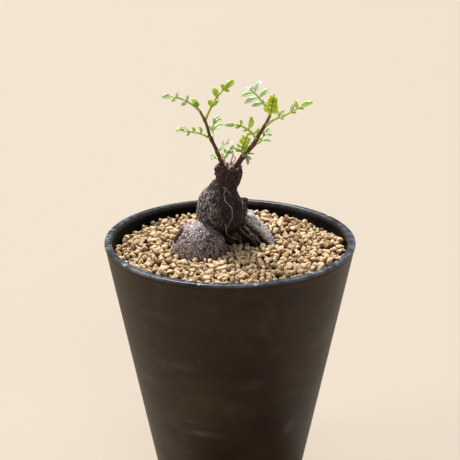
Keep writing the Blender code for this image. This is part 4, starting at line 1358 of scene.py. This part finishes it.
def make_leaf(name, finish, draw):
    """A feathered leaf: its flattened rib with leaflets in pairs and one at the tip."""
    spec = LEAVES[name]
    foot = point_along(smooth_route(SHOOTS[spec.shoot].route, 12), spec.at)
    route = smooth_route([foot, *spec.route], 8)
    face = np.array(spec.face, float)
    radii = np.linspace(*RIB_RADII, len(route))
    radii[: len(RIB_FOOT_RADII)] = RIB_FOOT_RADII
    points, faces = tube(route, radii, RIB_SIDES, RIB_FLATNESS, unit(face))
    count = len(points)
    # The rib gets a weaker painted sheen
    rib_painted_sheen = 0.3 * sum(spec.blooms) / len(spec.blooms)
    values = {
        "across": [0.3] * count,
        "along": [0.5] * count,
        "age": [0.8 * spec.age] * count,
        "bloom": [rib_painted_sheen] * count,
    }
    leaflets = [(1.0, 1, spec.tip)]
    for place, left, right in spec.pairs:
        leaflets += [(place, 1, left), (place, -1, right)]
    for i, (place, hand, leaflet) in enumerate(leaflets):
        length, spread_angle, lift, *ratio = leaflet
        rib = tangent(route, round(place * (len(route) - 1)))
        up = unit(face - rib * (face @ rib))
        aside = np.cross(up, rib) * hand
        turn, rise = math.radians(spread_angle), math.radians(lift)
        out = rib * math.cos(turn) + aside * math.sin(turn)
        along = out * math.cos(rise) + up * math.sin(rise)
        over = up * math.cos(rise) - out * math.sin(rise)
        curl = draw.uniform(*BLADE_CURLS)
        size = (length * LEAFLET_GROWTH, ratio[0] if ratio else BLADE_RATIO, curl)
        own_points, own_faces, across, down = blade(point_along(route, place), along, over, *size)
        join_part(points, faces, own_points, own_faces)
        age = min(max(spec.age + draw.uniform(-AGE_SPREAD, AGE_SPREAD), 0.0), 1.0)
        values["across"] += across
        values["along"] += down
        values["age"] += [age] * len(own_points)
        values["bloom"] += [spec.blooms[i % len(spec.blooms)]] * len(own_points)
    piece = add_piece(name + "_blades", points, faces, finish, values)
    apply_modifier(piece, "WELD", merge_threshold=0.00001)
    stand_for(piece, name)


# Fine roots and cracks that lie on the caudex as seen from the front: their (x, z) points and radius
STRANDS = {
    "pale_root_line": (
        ((-1.6, 118.2), (-2.0, 115.2), (0.6, 111.6), (0.7, 108.4), (-0.1, 106.8), (-0.9, 104.8)), 0.23,
    ),
    "neck_root_line": (((-2.6, 119.0), (-1.5, 118.4), (-0.4, 117.2), (0.2, 116.0)), 0.24),
    "side_root_line": (((3.3, 115.4), (4.3, 112.8), (4.6, 110.2), (4.3, 107.6)), 0.15),
    "hanging_root_line": (
        ((-1.7, 106.3), (-1.3, 104.1), (-1.1, 101.5), (-0.4, 98.2), (1.4, 96.8), (2.9, 96.4)), 0.26,
    ),
    "upper_root_strand": (((5.6, 104.3), (6.8, 103.2), (8.9, 102.0), (10.7, 100.4), (13.1, 98.0)), 0.3),
    "middle_root_strand": (((5.0, 103.2), (6.5, 101.7), (8.7, 99.3), (10.5, 96.9)), 0.22),
    "lower_root_strand": (((3.6, 102.2), (5.4, 100.1), (7.6, 98.0), (9.1, 96.1)), 0.2),
}


def make_strands(finish, bark):
    """Thin roots laid on the bark."""
    for name, (line, radius) in STRANDS.items():
        route = []
        for x, z in smooth_route(line, LINE_STEPS):
            found = bark.ray_cast((x, -60.0, z), (0.0, 1.0, 0.0))[0]
            if found:
                route.append(np.array(found) + (0, -STRAND_SINK * radius, 0))
        drifts = [np.array(noise.noise_vector(Vector(p) / 0.9)) * (1, 0, 1) for p in route]
        route = [p + STRAND_WANDER * drift for p, drift in zip(route, drifts)]
        swell = [1 + 0.4 * noise.noise(Vector(p) / 1.1) for p in route]
        radii = [0.95 * radius * (1 - 0.4 * i / len(route)) * swell[i] for i in range(len(route))]
        add_piece(name, *tube(np.array(route), radii, STRAND_SIDES), finish)


# Bud scales and dry leaf bases round the shoots' feet: foot, direction, length and radius
SCALES = (
    ((-3.3, 1.4, 124.4), (-0.5, -0.4, 1.0), 1.8, 0.6), ((-2.0, 0.4, 124.6), (-0.3, -0.6, 1.0), 2.0, 0.6),
    ((-0.9, -0.2, 124.4), (0.1, -0.5, 1.0), 2.4, 0.6), ((0.4, -0.4, 124.0), (0.4, -0.6, 0.9), 2.0, 0.75),
    ((1.5, -0.1, 124.2), (0.1, -0.6, 1.0), 2.2, 0.7), ((2.8, 1.0, 124.4), (0.5, -0.3, 1.0), 1.8, 0.6),
    ((3.6, 3.4, 124.4), (0.7, 0.2, 1.0), 1.6, 0.55), ((0.4, 3.4, 125.0), (0.1, 0.1, 1.0), 2.4, 0.7),
    ((-0.6, 1.8, 125.2), (-0.1, 0.0, 1.0), 2.2, 0.6), ((-0.9, 5.2, 124.6), (-0.2, 0.7, 1.0), 1.7, 0.6),
    ((1.9, 5.8, 124.3), (0.2, 0.7, 1.0), 1.8, 0.6), ((-3.4, 4.4, 124.2), (-0.6, 0.4, 1.0), 1.5, 0.55),
)


def make_scales(finish):
    """The scales and leaf bases, each a small bent cone."""
    points, faces = [], []
    places = np.linspace(-0.35, 1, 9)
    for foot, way, length, radius in SCALES:
        bend = np.array(noise.noise_vector(Vector(foot))) * (0.5, 0.5, 0.0)
        line = [np.array(foot) + unit(np.array(way)) * length * t + bend * t * t for t in places]
        radii = [0.85 * radius * (1 - max(0.0, t) ** 1.2 * 0.92) for t in places]
        join_part(points, faces, *tube(line, radii, SCALE_SIDES, SCALE_FLATNESS))
    add_piece("bud_scales", points, faces, finish)


# Dead threads of leaf stalk that stand on the neck: their points and radius
THREADS = {
    "dead_thread_left": (
        ((-1.2, 1.2, 124.6), (-1.7, 1.4, 127.2), (-2.3, 1.4, 129.0), (-2.9, 1.5, 130.6)), 0.36,
    ),
    "dead_thread_front": (
        ((0.2, 0.4, 124.2), (-0.4, -0.6, 125.4), (0.0, -1.2, 126.4), (1.0, -1.2, 126.7)), 0.28,
    ),
    "dead_thread_right": (((1.0, 1.8, 124.6), (0.8, 1.2, 126.8), (1.8, 1.0, 128.4), (1.6, 1.4, 129.6)), 0.28),
}


def make_threads(finish):
    """Dead threads between the shoots, tapering and a little crooked."""
    for name, (line, radius) in THREADS.items():
        route = smooth_route(line, LINE_STEPS)
        route = [p + THREAD_WANDER * np.array(noise.noise_vector(Vector(p) / 0.8)) for p in route]
        radii = np.linspace(radius, 0.7 * radius, len(route))
        add_piece(name, *tube(route, radii, THREAD_SIDES), finish)


def make_floor():
    """The pale board that the pot stands on, its far edge turned up into a low backdrop all round."""
    points = []
    for t in np.linspace(-0.125, 1, FLOOR_ROWS):
        points += ring(FLOOR_REACH * (1 + 0.3 * t), FLOOR_EDGE * max(t, 0.0) ** 2, FLOOR_SIDES)
    faces = [tuple(range(FLOOR_SIDES))]
    faces += [face[::-1] for face in grid_faces(FLOOR_ROWS, FLOOR_SIDES)]
    add_piece("floor", points, faces, painted_board())


def aim(obj, target):
    """Turns a lamp or camera towards a place."""
    obj.rotation_euler = (Vector(target) - obj.location).to_track_quat("-Z", "Y").to_euler()


def light_studio():
    """Soft daylight from above and behind the plant, a cool sky, weak fills and a faint room light."""
    for name, (place, width, strength, colour) in DAYLIGHT.items():
        light = bpy.data.lights.new(name, "SUN")
        light.angle = math.radians(width)
        light.energy = strength
        light.color = linear(colour)[:3]
        lamp = place_object(name, light)
        lamp.location = place
        aim(lamp, LIT_PLACE)
    world = bpy.data.worlds.new("studio")
    world.use_nodes = True
    plug(world.node_tree.nodes["Background"], {"Color": ROOM_COLOUR, "Strength": ROOM_LIGHT})
    bpy.context.scene.world = world


def add_camera():
    """The photograph's view: a little above the rim, looking at the foot of the plant."""
    lens = bpy.data.cameras.new("camera")
    lens.sensor_width = SENSOR
    lens.lens = FOCAL_LENGTH
    camera = place_object("camera", lens)
    camera.location = CAMERA_PLACE
    aim(camera, CAMERA_TARGET)
    bpy.context.scene.camera = camera


def main():
    """Makes every piece of the object, then the floor, the light and the camera."""
    noise.seed_set(BARK_SEED)
    clay = fired_clay()
    twig = young_bark()
    dead = dead_stalk()
    green = leaf_blade()
    make_pot(moulded_polypropylene())
    surface = make_caudex(caudex_bark())
    make_strands(bare_root(), surface)
    make_bed(clay)
    make_grains(clay, surface)
    make_shoot("shoot_left", twig, "twig")
    make_shoot("shoot_right", twig, "twig")
    make_shoot("dry_stalk", dead, "dry_stalk")
    make_scales(bud_scale())
    make_threads(dead)
    draw = random.Random(PLANT_SEED)
    for name in LEAVES:
        make_leaf(name, green, draw)
    make_floor()
    light_studio()
    add_camera()
    bpy.context.scene.view_settings.view_transform = "Standard"


main()
